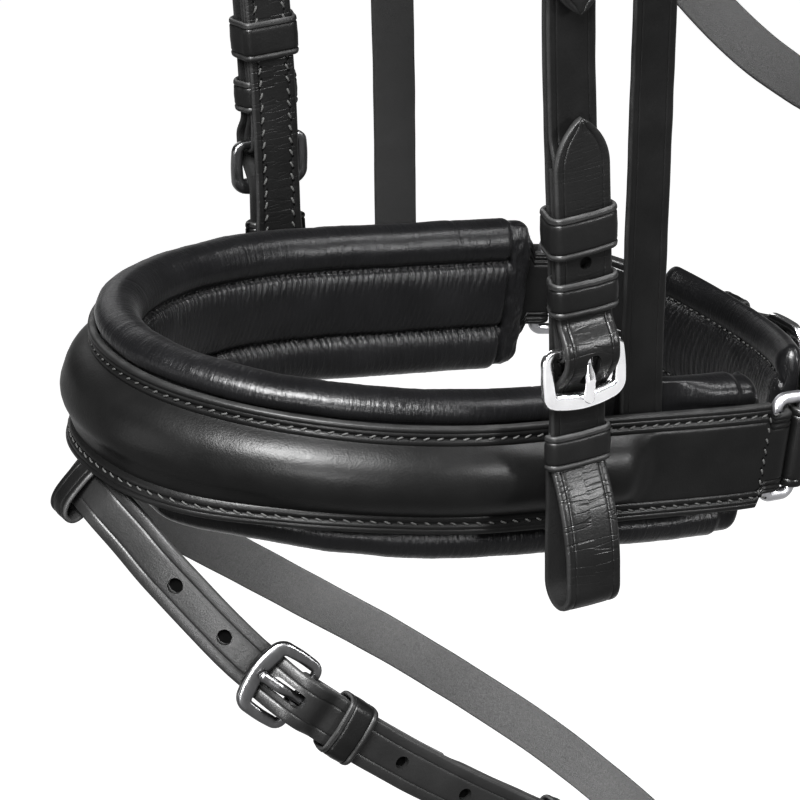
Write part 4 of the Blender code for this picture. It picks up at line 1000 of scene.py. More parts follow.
def ridges(s, spacing, jitter=0.35, seed=1):
    """Folds across a length: rounded crests between narrow tucks, from -0.6 to 0.4."""
    phase = s / spacing + jitter * vnoise(s / (spacing * 3.1), 0, seed) + 0.25 * vnoise(s / (spacing * 1.3), 4, seed)
    return np.abs(np.sin(np.pi * phase)) ** 0.75 - 0.6


def end_scale(dist, length, least):
    x = np.clip(dist / length, 0, 1)
    return least + (1 - least) * np.sqrt(np.maximum(0.0, 1 - (1 - x) ** 2))


def stations(a, b, step, end):
    """Lengths from a to b, closer together at both ends."""
    close = [0.0, 0.12, 0.35, 0.7, 1.2, 1.8, 2.5, 3.2]
    inner = np.linspace(a + end, b - end, int((b - a - 2 * end) / step))
    return np.array([a + q * end / 4 for q in close] + list(inner) + [b - q * end / 4 for q in reversed(close)])


# ---------------------------------------------------------------- crown, browband
def make_crown():
    s0, s1 = crown_s(-117.0, -1), crown_s(-117.0, 1)
    lift = -place(CROWN, s0 + (s1 - s0) * 12 / 25, 0).z
    hw = CROWN_PAD_W / 2
    prof = closed_profile([(-hw, 2.9), (-hw + 0.8, 1.0), (-hw + 3, 0.15), (-hw + 6.4, 0.55), (-hw + 8.6, 0.1), (-8, -0.05), (0, 0.0), (8, -0.05), (hw - 8.6, 0.1),
                           (hw - 6.4, 0.55), (hw - 3, 0.15), (hw - 0.8, 1.0), (hw, 2.9), (hw - 0.8, 4.8), (hw - 3.2, 5.6), (hw - 7, 5.9), (0, 6.0),
                           (-hw + 7, 5.9), (-hw + 3.2, 5.6), (-hw + 0.8, 4.8)], 108)
    st = stations(s0, s1, 1.05, 4.0)
    frames = [CROWN.at(s) for s in st]
    p, out, acr = (np.array([f[i] for f in frames]) for i in (0, 2, 3))
    scale = end_scale(np.minimum(st - s0, s1 - st), 4.0, 0.55)
    w, u = prof[:, 0][None] * (0.86 + 0.14 * scale[:, None]), (prof[:, 1][None] - 3.0) * scale[:, None] + 3.0 + lift
    rings = p[:, None] + acr[:, None] * w[..., None] + out[:, None] * u[..., None]
    d_seam = np.abs(np.abs(prof[:, 0]) - (hw - 6.4))
    under = prof[:, 1] < 2.5
    amount = np.where(under, 0.24 * np.exp(-d_seam / 4.0), 0.10 * np.exp(-np.abs(np.abs(prof[:, 0]) - hw) / 3.0))
    disp = amount[None] * ridges(st[:, None] + 0.2 * prof[None, :, 0], 2.4, seed=31) + 0.10 * vnoise(st[:, None] / 7, prof[None, :, 0] / 6, 8)
    rings += normals_of(rings) * disp[..., None]
    pad = grid_mesh("crown_pad_soft", rings, st, SOFT_MAT, gather=np.clip(amount * 3.2, 0, 1)[None] + 0.15, smooth=60)
    belongs(pad, "crown", "crown_pad")

    # Crown strap, from browband to browband, then two ends on either side.
    a, b = crown_s(-97.0, -1), crown_s(-97.0, 1)
    track = Track(CROWN, [(a, 12.4), (b, 12.4)], 1.2)
    main = fine_strap("crown_strap_over_poll", track, CROWN_W, 3.0, STRAP_MAT, wave=0.10, seed=41)
    belongs(main, "crown", "crown_strap")
    rows = Stitches()
    edge_rows(rows, track, a + 4, b - 4, 3.4, CROWN_W / 2, 1.5, 1, 3.6, 2.6, radius=0.3)
    for side, sign in (("near", 1), ("far", -1)):
        for end, w0, w1, axis_z, r in (("front", 10.7, 11.5 if sign > 0 else 13.7, -123.3, 7.3), ("rear", -10.7, -10.7, -124.0, 6.6)):
            top, skive, last = crown_s(-95.6, sign), crown_s(-112.5, sign), crown_s(axis_z - r, sign)
            swap = crown_s(-104.0, sign)

            def over(s, w0=w0, w1=w1, swap=swap, skive=skive):
                return w0 + (w1 - w0) * float(smooth01((s - swap) / (skive - swap)))

            path = [(top, 12.38), (swap, 12.38)] + ease((swap + sign * 4, 12.38), (skive, 11.42), 8) + [(last, 11.42)]
            tr = Track(CROWN, path, 0.9, tip=r, side=over)
            full = CROWN_W / 2 - 2.4
            lengths = np.abs(tr.s - top)
            total = abs(last - top)
            narrow = np.interp(lengths, [0, abs(swap - top), abs(skive - top), total], [full, full, 2 * r, 2 * r])
            thick = np.interp(lengths, [0, abs(swap - top) + 3, abs(skive - top), total], [2.9, 2.9, 0.95, 0.95])
            d = tr.run
            obj = fine_strap(f"crown_{side}_{end}_end", tr, lambda x, d=d, narrow=narrow: float(np.interp(x, d, narrow)), 2.9, STRAP_MAT,
                             grain=sign, tip=r, wave=0.05, seed=43, tip_shape="round",
                             thickness=lambda x, d=d, thick=thick: float(np.interp(x, d, thick)))
            belongs(obj, "crown", ())
            edge_rows(rows, tr, top + sign * 2, swap + sign * 2, 3.0, full / 2, 1.46, sign, 3.6, 2.5, radius=0.28)
    rows.make("crown_stitching", "crown", THREAD_BLACK)


def make_browband():
    outer, inner, rear = 91.5, 68.8, 25.5
    z = -96.0
    half = [(-72, 0), (-71, 14), (-67, 32), (-59, 50), (-48, 66), (-36, 79), (-24, 88.0), (-10, 91.2), (6, 91.6), (18, 91.0)]
    near = catmull([(x, y, z) for x, y in half], 6)
    turn = []
    for i in range(1, 12):
        t = math.radians(90 - 180 * i / 12)
        turn.append(Vector((rear - 7 + 7.4 * math.cos(t), (outer + inner) / 2 - 0.3 + ((outer - inner) / 2) * math.sin(t), z)))
    back = [Vector((x, inner - 0.6, z)) for x in (12, 2, -8, -17)]
    back += [Vector((-24, inner + 1.8, z)), Vector((-28.2, inner + 7.0, z)), Vector((-30.2, inner + 12.0, z))]
    side = near + turn + back
    full = [Vector((p.x, p.y, p.z)) for p in reversed(side)] + [Vector((p.x, -p.y, p.z)) for p in side[1:]]
    pts = np.array([[p.x, p.y, p.z] for p in full])
    pts = np.stack([*np.moveaxis(finer(pts, 1.2, 2), 1, 0)], 1)
    run = np.concatenate([[0.0], np.cumsum(np.linalg.norm(np.diff(pts, axis=0), axis=1))])
    at = np.linspace(0, run[-1], int(run[-1] / 1.1))
    p = np.stack([np.interp(at, run, pts[:, k]) for k in range(3)], 1)

    tr = Track.__new__(Track)
    tr.p, tr.run, tr.total, tr.s = p, at, at[-1], at
    t = np.gradient(p, axis=0)
    t /= np.linalg.norm(t, axis=1, keepdims=True)
    a = np.tile([0.0, 0.0, 1.0], (len(p), 1))
    n = np.cross(a, t)
    mid = len(p) // 2
    grain = 1 if n[mid][0] < 0 else -1
    tr.t, tr.a, tr.n = t, a, n
    obj = fine_strap("browband_strip", tr, BROW_H, 2.6, STRAP_MAT, grain=grain, wave=0.12, seed=51, crown=0.25)
    belongs(obj, "crown", "browband")
    rows = Stitches()
    centre = at[-1] / 2
    edge_rows(rows, tr, centre - 118, centre + 118, 2.7, BROW_H / 2, 1.3, grain, 3.4, 2.5, radius=0.3)
    # where the ends are sewn down beside the loops
    for sign in (-1, 1):
        k = int(np.argmin(np.abs(at - (centre + sign * 123))))
        line = [p[k] + a[k] * q + n[k] * grain * 1.32 for q in np.linspace(-5.3, 5.3, 12)]
        rows.row(line, [n[k] * grain] * 12, 2.4, 1.9, 18, 0.3)
    rows.make("browband_stitching", "crown", THREAD_GREY)

    keep = np.abs(p[:, 1]) < 57
    keep &= p[:, 0] < -30
    q, dirs, ups = p[keep], n[keep] * -grain, a[keep]
    st = at[keep]
    prof = closed_profile([(1.6, -6.2), (1.6, 0), (1.6, 6.2), (2.2, 8.8), (3.6, 9.5), (5.6, 8.7), (6.3, 6.6), (6.0, 5.2), (6.8, 2.6), (6.95, 0), (6.8, -2.6),
                           (6.0, -5.2), (6.3, -6.6), (5.6, -8.7), (3.6, -9.5), (2.2, -8.8)], 72)
    ends = np.minimum(st - st[0], st[-1] - st)
    scale = end_scale(ends, 5.0, 0.35)[:, None]
    v = (prof[:, 0][None] - 3.6) * scale + 3.6
    h = prof[:, 1][None] * (0.5 + 0.5 * scale)
    rings = q[:, None] + dirs[:, None] * v[..., None] + ups[:, None] * h[..., None]
    seam = np.exp(-np.abs(np.abs(prof[:, 1]) - 5.2) / 2.6) * (prof[:, 0] > 4)
    disp = 0.20 * seam[None] * ridges(st[:, None] + 0.3 * prof[None, :, 1], 2.1, seed=52) + 0.10 * vnoise(st[:, None] / 6, prof[None, :, 1] / 5, 9)
    rings += normals_of(rings) * disp[..., None]
    pad = grid_mesh("browband_pad_soft", rings, st, SOFT_MAT, gather=(0.2 + 0.8 * seam)[None], smooth=60)
    belongs(pad, "crown", "browband_pad")


# ---------------------------------------------------------------- cheekpieces
def make_cheek(side, sign):
    body = side + "_cheek"
    g = cheek_guide(sign)
    s_of = lambda z: g.find(2, z)
    s_axis = s_of(-123.3)
    s_up, s_low = s_of(UPPER_HINGE_Z), s_of(LOWER_HINGE_Z)
    s_tip_up, s_tip_low = s_of(-294.5), s_of(-320.0)
    s_loop = s_of(BIT_LOOP_Z)
    base = BACKING + 0.2
    rest = base + 2 * PLY + 0.45 + BILLET / 2 + 0.2
    seed = 60 + (0 if sign > 0 else 20)

    # billet from the crown
    start = base + BILLET / 2 + 0.05
    path = [(s_axis - BILLET_W / 2, start), (s_up - BUCKLE_L - 8, start)]
    path += over_buckle(s_up, -1, base, rest)
    path += [(s_tip_up, rest)]
    tr_top = Track(g, path, 1.0, tip=12.0, tail=BILLET_W / 2)
    near_top = 2.2 - 0.9 * (1 - smooth01((tr_top.run - 9) / 14))
    crown_billet = fine_strap(f"{side}_crown_billet_cut", tr_top, BILLET_W, BILLET, BILLET_MAT, tip=12.0, tail=BILLET_W / 2, seed=seed,
                              wear=0.25 + 0.5 * np.exp(-((tr_top.s - s_up) / 9.0) ** 2),
                              thickness=lambda d: float(np.interp(d, tr_top.run, near_top)))
    fold, hole = tongue_cutters(g, s_up, -1, base)
    holes = [hole] + [punch_cutter(g, s_up + q, rest, 1.6, 4.0) for q in (22.0,)] + [punch_cutter(g, s_up - q, start, 1.6, 5.0) for q in (24.0, 42.0, 60.0)]
    cut_out(crown_billet, holes)
    belongs(crown_billet, body, side + "_crown_billet")

    # outer ply of the cheekpiece
    resting = BACKING + 0.25 + PLY / 2
    low = chape(s_low, 1, base, 47, 0, resting)
    up = chape(s_up, -1, base, 34, 0, resting)
    path = low[:-1] + [((s_up + s_low) / 2, resting)] + list(reversed(up[:-1]))
    tr_out = Track(g, path, 1.0)
    cheek = fine_strap(f"{side}_cheekpiece_ply", tr_out, CHEEK_W - 0.2, PLY, STRAP_MAT, grain=-1, wave=0.06, seed=seed + 1)
    low_fold, low_hole = tongue_cutters(g, s_low, 1, base)
    cut_out(cheek, [fold, low_fold])
    belongs(cheek, body, side + "_cheekpiece")

    # backing, bit loop and lower billet in one
    mid = BACKING / 2
    loop_r = 5.4
    path = [(s_up + 7, mid), (s_loop - loop_r - 4, mid)]
    path += arc(s_loop - loop_r, mid + loop_r, loop_r, -90, 90, 16)
    lowk = base + BILLET / 2 + 0.05
    # the front leg leaves the keeper at a slope and turns upright further down
    (sa, ua), (sb, ub) = (s_loop - loop_r - 4, mid + 2 * loop_r - 0.2), (s_of(-412.0), lowk + 0.15)
    path += [(sa + (sb - sa) * q, ua + (ub - ua) * q ** 2.0) for q in np.linspace(0, 1, 14)]
    path += [(s_of(-406.5), lowk)]
    path += over_buckle(s_low, 1, base, rest)
    path += [(s_tip_low, rest)]
    tr = Track(g, path, 0.85, tip=13.0)
    first = s_low + 20 - (s_up + 7)

    def widening(d):
        t = max(0.0, min(1.0, (d - first) / 14))
        return CHEEK_W + (BILLET_W - CHEEK_W) * t

    turned = tr.run > (s_loop - s_up - 7)
    crush = np.where(turned, 0.25 + 0.95 * np.exp(-(((tr.s - s_of(-424.0)) / 9.0) ** 2)) + 0.25 * np.exp(-(((tr.s - s_low) / 10.0) ** 2)), 0.3)
    crush = np.where(turned, crush, 0.35 + 0.5 * np.exp(-(((tr.s - s_of(-352.0)) / 14.0) ** 2)))
    billet = fine_strap(f"{side}_bit_billet_cut", tr, widening, BACKING + 0.2, BILLET_MAT, grain=-1, tip=13.0, wear=crush, seed=seed + 2, wave=0.10)
    holes = [low_hole] + [punch_cutter(g, s_low - q, rest, 1.6, 4.0) for q in (23.0,)]
    cut_out(billet, holes)
    belongs(billet, body, side + "_bit_billet")

    # On the far side the lower buckle takes the darker copy of the steel: painted shade.
    fine_buckle(f"{side}_lower_buckle", g, s_low, 1, base, BILLET_W, body, f"{side}_lower_tongue", mat=STEEL_MAT if sign > 0 else SHADED_STEEL_MAT)
    fine_buckle(f"{side}_upper_buckle", g, s_up, -1, base, BILLET_W, body, f"{side}_upper_tongue")

    top = rest + BILLET / 2
    for name, s, length, hi, own in (
        ("bit_keeper", s_of(-407.0), 9.5, lowk + BILLET / 2, body),
        ("lower_fixed_keeper", s_low - 14.6, 9.0, top, body),
        ("lower_running_keeper", s_low - 31, 11.0, top, side + "_lower_runner"),
        ("upper_fixed_keeper", s_up + 14.6, 9.0, top, body),
        ("upper_running_keeper", s_up + 31, 10.0, top, side + "_upper_runner"),
    ):
        low_at = 0.0 if "running" in name else BACKING + 0.8  # all but the running ones are sewn in between the plies
        fine_keeper(f"{side}_{name}_loop", g, s, length, low_at, hi, BILLET_W, CHEEK_W, own, f"{side}_{name}", seed=seed + len(name),
                    lean=0.25 if "running" in name else 0.0)

    # Stitching: through both plies, seen on the inner face and, sunk in the creased lines, on the outer one.
    rows = Stitches()
    straight = lambda t: ~(t.run > (s_loop - s_up - 7 - 6))
    # The inner-face rows take the grey thread, lighter than the black of the outer rows: a painted highlight.
    inner_rows = Stitches()
    edge_rows(inner_rows, tr, s_up + 10, s_loop - 24, 2.5, CHEEK_W / 2, 0.9, -1, 3.6, 2.6, radius=0.34, which=straight)
    inner_rows.make(f"{side}_backing_stitching", body, THREAD_GREY)
    edge_rows(rows, tr, s_up + 10, s_loop - 34, 2.5, CHEEK_W / 2, 0.9, 1, 3.75, 2.9, radius=0.34, which=straight)
    top_pt = lambda q, w: place(g, q, start + 0.72, w)
    ring = [top_pt(s_axis + 4.6 * math.cos(t), 4.6 * math.sin(t)) for t in np.linspace(0, 2 * math.pi, 41)]
    normal = np.array(g.at(s_axis)[2])
    rows.row(np.array([list(q) for q in ring]), [normal] * 41, 2.6, 2.0, 12, 0.28)
    rows.make(f"{side}_cheek_stitching", body, THREAD_BLACK)


# ---------------------------------------------------------------- noseband
NOSE_S0, NOSE_S1 = NOSE_END_NEAR, NOSE.total() - NOSE_END_NEAR
BAR_NEAR, BAR_FAR = NOSE_S0 - 2.0, NOSE_S1 + 2.0


def nose_frames(path):
    """Middle line of the outer strap, with outward and upward directions, for (s, u) stations."""
    p, up = [], []
    for s, u in path:
        q, _, out, across = NOSE.at(s)
        p.append(q + out * u)
        up.append(across if across.z > 0 else -across)
    p, up = np.array(p), np.array(up)
    t = np.gradient(p, axis=0)
    t /= np.linalg.norm(t, axis=1, keepdims=True)
    out = np.cross(up, t)
    out /= np.linalg.norm(out, axis=1, keepdims=True)
    return p, out, up


def make_noseband():
    wrap = 3.0
    half = 1.15

    def end_path(bar, d):
        u_b = STRAP_U - wrap
        path = [(bar - d * 6.6, STRAP_U - 2 * wrap + 0.2), (bar - d * 3.6, STRAP_U - 2 * wrap + 0.1)]
        path += [(bar + d * x, u_b + y) for x, y in arc(0, 0, wrap, -90, 90, 12)]
        return path

    path = end_path(BAR_NEAR, -1) + [(NOSE_S0 + 2, STRAP_U), (NOSE_S1 - 2, STRAP_U)] + list(reversed(end_path(BAR_FAR, 1)))
    pts = finer(path, 1.4)
    run = np.concatenate([[0.0], np.cumsum(np.linalg.norm(np.diff(pts, axis=0), axis=1))])
    at = np.linspace(0, run[-1], int(run[-1] / 0.85))
    su = np.stack([np.interp(at, run, pts[:, 0]), np.interp(at, run, pts[:, 1])], 1)
    p, out, up = nose_frames(su)
    s = su[:, 0]
    outer = su[:, 1] > STRAP_U - 1.2
    from_end = np.minimum(s - NOSE_S0, NOSE_S1 - s)
    dome = smooth01((from_end - 35.0) / 12.0) * np.where(outer, 1, 0)
    front = np.array([max(0.0, -NOSE.at(x)[2].x) for x in s])
    flare = smooth01((front - 0.30) / 0.55) * outer
    lean = 4.4 * smooth01((front - 0.60) / 0.38)
    dome = dome * (1 + 0.42 * front)
    # the folded ends are cut a little lower than the rest
    trim = 3.6 * smooth01((3.4 - from_end) / 1.3)
    h = NOSE_STRAP_H / 2
    top = [(h - 0.02, 0.35, 0), (h - 0.18, 0.78, 0), (h - 0.5, 1.05, 0), (h - 0.95, 1.15, 0), (h - 1.35, 1.10, 0), (h - 1.6, 0.95, 0), (h - 1.85, 1.1, 0),
           (h - 2.35, 1.14, 0), (h - 2.6, 0.98, 0), (h - 2.85, 0.80, 0), (h - 3.1, 0.74, 0), (h - 3.35, 0.80, 0), (h - 3.6, 0.98, 0), (h - 3.85, 1.14, 0),
           (10.2, 1.15, 0), (9.85, 1.05, 0.02), (9.55, 0.84, 0.05), (9.25, 1.02, 0.14), (8.9, 1.12, 0.32), (8.4, 1.15, 0.60), (7.7, 1.15, 0.98), (6.8, 1.15, 1.40),
           (5.8, 1.15, 1.78), (4.6, 1.15, 2.12), (3.2, 1.15, 2.40), (1.6, 1.15, 2.58), (0, 1.15, 2.64)]
    gain = 4.9 / 2.64
    sec = [(h, -0.15, 0)] + top + [(-k, v, r) for k, v, r in reversed(top[:-1])] + [(-h, -0.15, 0)]
    sec += [(-h + 0.05, -0.6, 0), (-h + 0.3, -0.98, 0), (-h + 0.7, -1.15, 0), (-7, -1.15, 0), (0, -1.15, 0), (7, -1.15, 0), (h - 0.7, -1.15, 0), (h - 0.3, -0.98, 0), (h - 0.05, -0.6, 0)]
    k = np.array([q[0] for q in sec])
    v = np.array([q[1] for q in sec])
    r = np.array([q[2] for q in sec]) * gain
    m = len(sec)
    flesh = np.array([0] * (len(top) * 2 + 1) + [0.5, 1, 1, 1, 1, 1, 1, 1, 0.5][: m - (len(top) * 2 + 1)], float)
    edge = np.array([1.0, 1.0, 0.6, 0.25] + [0] * (m - 17) + [0.25, 0.6, 1.0, 1.0] + [1, 0.6, 0.2, 0, 0, 0, 0.2, 0.6, 1][:9], float)[:m]
    wave = 0.10 * vnoise(s / 19, 0, 5)[:, None] + 0.10 * vnoise(s[:, None] / 9, k[None] / 7, 6) * np.clip(r, 0, 1)[None]
    # over the nose the lower margin stands out a little further, and is a little wider
    low_side = smooth01((-6.0 - k) / 5.0)[None] * flare[:, None]
    height = v[None] + r[None] * dome[:, None] + wave * outer[:, None] + 2.6 * low_side + lean[:, None] * np.clip((2.0 - k[None]) / 16.0, 0, 1)
    kk = k[None] * (1 - trim[:, None] / h) + 0.10 * vnoise(s / 23, 4, 6)[:, None] - 1.6 * low_side
    rings = p[:, None] + out[:, None] * height[..., None] + up[:, None] * kk[..., None]
    obj = grid_mesh("noseband_strap_raised", rings, at, NOSE_MAT, flesh=flesh[None], edge=edge[None], smooth=50)
    belongs(obj, "noseband", "noseband_strap")

    rows = Stitches()
    level = half - 0.32
    keep = outer & (s > 11.2) & (s < NOSE.total() - 11.2)
    for sign in (1, -1):
        more = (flare[keep] * (sign < 0))[:, None]
        tip_out = lean[keep][:, None] * np.clip((2.0 - sign * (h - 3.1)) / 16.0, 0, 1)
        line = p[keep] + out[keep] * (level + 2.6 * more + tip_out) + up[keep] * (sign * (h - 3.1) - 1.6 * more)
        rows.row(line, out[keep], 3.35, 2.35, 24 * sign, 0.31)
    for s_c in (11.2, NOSE.total() - 11.2):
        (q,), (o,), (w,) = nose_frames_at(s_c)
        line = [q + o * (half + 0.02) + w * x for x in np.linspace(-h + 3.1, h - 3.1, 30)]
        rows.row(line, [o] * 30, 3.0, 2.2, 22, 0.30)
    # along the folded ends
    for s_a, s_b in ((NOSE_S0 + 0.4, 10.6), (NOSE.total() - 10.6, NOSE_S1 - 0.4)):
        for sign in (1, -1):
            line, nrm = [], []
            for x in np.linspace(s_a, s_b, 12):
                (q,), (o,), (w,) = nose_frames_at(x)
                line.append(q + o * (half + 0.0) + w * sign * (h - 3.0))
                nrm.append(o)
            rows.row(line, nrm, 2.9, 2.0, 20 * sign, 0.30)
    rows.make("noseband_stitching", "noseband", THREAD_GREY)

    # rings of the crank
    for side, bar, d in (("near", BAR_NEAR, -1), ("far", BAR_FAR, 1)):
        hh = h - 0.9
        r = 2.4
        corners = [(0, 1), (RING_GAP, 1), (RING_GAP, -1), (0, -1)]
        path = []
        for q in range(13):
            path.append((0.0, -hh + r + (2 * hh - 2 * r) * q / 12))
        for q in range(1, 7):
            t = math.radians(90 * q / 6)
            path.append((r * (1 - math.cos(t)), hh - r + r * math.sin(t)))
        for q in range(1, 4):
            path.append((r + (RING_GAP - 2 * r) * q / 4, hh))
        for q in range(0, 7):
            t = math.radians(90 * q / 6)
            path.append((RING_GAP - r + r * math.sin(t), hh - r + r * math.cos(t)))
        for q in range(1, 13):
            path.append((RING_GAP, hh - r - (2 * hh - 2 * r) * q / 12))
        for q in range(1, 7):
            t = math.radians(90 * q / 6)
            path.append((RING_GAP - r + r * math.cos(t), -hh + r - r * math.sin(t)))
        for q in range(1, 4):
            path.append((RING_GAP - r - (RING_GAP - 2 * r) * q / 4, -hh))
        for q in range(0, 6):
            t = math.radians(90 * q / 6)
            path.append((r - r * math.sin(t), -hh + r - r * math.cos(t)))
        pts3 = np.array([list(nose_point(bar + d * a, STRAP_U - wrap, b)) for a, b in path])
        out_v = np.array(NOSE.at(bar)[2])
        t = np.roll(pts3, -1, 0) - np.roll(pts3, 1, 0)
        t /= np.linalg.norm(t, axis=1, keepdims=True)
        o = np.tile(out_v, (len(pts3), 1))
        o -= t * (o * t).sum(1, keepdims=True)
        o /= np.linalg.norm(o, axis=1, keepdims=True)
        w = np.cross(t, o)
        ang = np.arange(18) * 2 * np.pi / 18
        cx = np.sign(np.cos(ang)) * np.abs(np.cos(ang)) ** 0.8
        cy = np.sign(np.sin(ang)) * np.abs(np.sin(ang)) ** 0.8
        rings = pts3[:, None] + w[:, None] * (1.55 * cx)[None, :, None] + o[:, None] * (1.42 * cy)[None, :, None]
        run = np.linalg.norm(np.roll(pts3, -1, 0) - pts3, axis=1).cumsum()
        ring = grid_mesh(f"{side}_crank_ring_cast", rings, run, RING_MAT, loop=True, smooth=60)
        belongs(ring, "noseband", f"{side}_crank_ring")


def nose_frames_at(s):
    p, out, up = nose_frames([(s - 0.5, STRAP_U), (s, STRAP_U), (s + 0.5, STRAP_U)])
    return p[1:2], out[1:2], up[1:2]


def make_nose_pad():
    a, b = NOSE_S0 + 5.4, NOSE_S1 - 5.4
    prof = closed_profile([(3.9, 0), (3.9, -8), (3.9, -14.2), (5.0, -16.6), (5.1, -18.6), (3.9, -21.4), (1.2, -23.3), (-2.2, -23.2), (-5.0, -21.4), (-6.6, -18.2), (-7.0, -14.8),
                           (-6.3, -11.8), (-4.7, -9.7), (-6.2, -8.0), (-7.1, -4.6), (-7.3, 0), (-7.1, 4.6), (-6.2, 8.0), (-4.7, 9.7), (-6.3, 11.8), (-7.0, 14.4),
                           (-6.2, 17.4), (-4.2, 19.9), (-1.2, 21.0), (1.9, 20.6), (4.3, 19.0), (5.2, 16.9), (4.7, 15.0), (3.9, 14.0), (3.9, 8)], 140)
    flat = closed_profile([(3.8, 0), (3.8, -8), (3.8, -14.2), (4.4, -17.2), (3.8, -20.2), (1.4, -22.2), (-1.8, -22.3), (-4.2, -20.8), (-5.4, -18), (-5.7, -14),
                           (-5.8, -9), (-5.9, -4.5), (-5.9, 0), (-5.9, 4.5), (-5.8, 9), (-5.6, 14), (-5.0, 17.4), (-3.6, 19.4), (-1.2, 20.2), (1.6, 19.8), (3.8, 18.4), (4.6, 16.6),
                           (4.3, 14.8), (3.8, 13.6), (3.8, 8)], 140)
    st = stations(a, b, 0.42, 4.0)
    frames = [NOSE.at(x) for x in st]
    p = np.array([f[0] for f in frames])
    out = np.array([f[2] for f in frames])
    up = np.array([f[3] if f[3].z > 0 else -f[3] for f in frames])
    dist = np.minimum(st - a, b - st)
    band = 1 - smooth01((dist - 6.0) / 2.0)
    shape = prof[None] * (1 - band[:, None, None]) + flat[None] * band[:, None, None]
    scale = end_scale(dist, 3.2, 0.80)[:, None]
    thin = end_scale(dist, 3.2, 0.55)[:, None]
    u = (shape[..., 0] + 0.5) * thin - 0.5
    h = (shape[..., 1] + 1.0) * scale - 1.0
    inner = smooth01((-2.2 - u) / 2.0)
    # the tucked line between end band and rolls
    tuck = np.exp(-(((dist - 7.2) / 0.9) ** 2))[:, None]
    u = u + inner * tuck * 1.2
    # room for the hanger between pad and outer strap, on both sides
    for x_h, side in ((23.1, -1), (21.1, 1)):
        gap = np.abs(p[:, 0] - x_h)
        press = (1 - smooth01((gap - 6.2) / 15.0)) * (np.sign(p[:, 1]) == side) * (p[:, 0] > -5)
        over = np.maximum(0.0, u - 1.35) * press[:, None] * smooth01((h + 18) / 8)
        u = u - over
    # the bottom roll gives way to the flash at the front
    front = ((1 - smooth01((np.abs(p[:, 1]) - 9.0) / 14.0)) * (p[:, 0] < -60))[:, None]
    dent = np.maximum(0.0, u - 1.0) * smooth01((-12.5 - h) / 3.0) * front
    u = u - dent
    h = np.where(h < -15, h + 2.2 * front * smooth01((-15 - h) / 4.0) * smooth01((u + 5) / 4), h)
    # and its lower half follows the lean of the strap over the nose
    nose_on = smooth01((np.maximum(0.0, -out[:, 0]) - 0.60) / 0.38)[:, None]
    u = u + 4.2 * nose_on * np.clip((2.0 - h) / 16.0, 0, 1)
    rings = p[:, None] + out[:, None] * u[..., None] + up[:, None] * h[..., None]
    jj_u, jj_h = prof[:, 0][None], prof[:, 1][None]
    s2 = st[:, None]
    live = (1 - band)[:, None]
    d_top, d_bot = 9.7 - jj_h, jj_h + 9.7
    inside = (jj_u < -3.0)
    middle = inside & (np.abs(jj_h) < 9.7)
    above = inside & (jj_h >= 9.7)
    below = inside & (jj_h <= -9.7)
    patch = 0.75 + 0.35 * vnoise(s2 / 13.0, jj_h / 9.0, 12)
    amount = np.where(middle, 0.62 * np.exp(-d_top / 5.5) + 0.34 * np.exp(-d_bot / 3.2) + 0.05, 0.0)
    amount = np.where(above, 0.20 * np.exp(d_top / 2.6) + 0.03, amount)
    amount = np.where(below, 0.58 * np.exp(d_bot / 4.2) + 0.05, amount)
    outer = ~inside
    amount = np.where(outer & (jj_h < -10), 0.15 * np.exp(-np.abs(jj_h + 17.0) / 2.4) + 0.03, amount)
    amount = np.where(outer & (jj_h > 10), 0.08 * np.exp(-np.abs(jj_h - 17.0) / 2.0) + 0.03, amount)
    amount = amount * patch
    slant = np.where(middle, 0.30 * d_top, np.where(below, 0.25 * d_bot, 0.0))
    folds = ridges(s2 + slant, 1.95, 0.45, 13)
    fine = ridges(s2 + slant * 1.4 + 0.5 * vnoise(s2 / 5, jj_h / 3, 14), 0.95, 0.5, 15)
    disp = amount * live * (folds * 0.95 + fine * 0.42)
    disp = disp + 0.16 * vnoise(s2 / 8.5, jj_h / 7.0, 16) * live + 0.05 * vnoise(s2 / 2.4, jj_h / 6.0, 17)
    # bunched leather of the sewn-down ends
    disp = disp + band[:, None] * inside * (0.38 * vnoise(s2 / 1.6, jj_h / 3.3, 18) + 0.16 * vnoise(s2 / 0.8, jj_h / 1.4, 19))
    # a few long soft creases where the ring bends
    crease = np.exp(-((vnoise(s2 / 11.0 + jj_h * 0.02, 3.0, 20) / 0.10) ** 2))
    disp = disp - 0.10 * crease * (above | (outer & (jj_h > 12))) * live
    seam = np.exp(-(((np.abs(jj_h) - 9.7) / 0.75) ** 2)) * inside * live
    disp = disp - 0.55 * seam
    back = (jj_u > 3.4) & (np.abs(jj_h) < 14.3)
    disp = np.where(back, 0.0, disp)
    rings = rings + normals_of(rings) * disp[..., None]
    weight = np.clip(amount * 2.6, 0, 1.0) * live + 0.6 * band[:, None] * inside
    pad = grid_mesh("noseband_pad_soft", rings, st, SOFT_MAT, gather=weight, smooth=75)
    belongs(pad, "noseband", "noseband_pad")

    rows = Stitches()
    keep = (dist > 8.5)
    normal = normals_of(rings)
    for target in (9.7, -9.7):
        j = int(np.argmin(np.abs(prof[:, 1] - target) + 10 * (prof[:, 0] > -3)))
        line, nrm = rings[keep][:, j], -out[keep]
        rows.row(line, nrm, 2.0, 1.4, 10, 0.26, sink=0.25)
    rows.make("noseband_pad_stitching", "noseband", THREAD_BLACK)


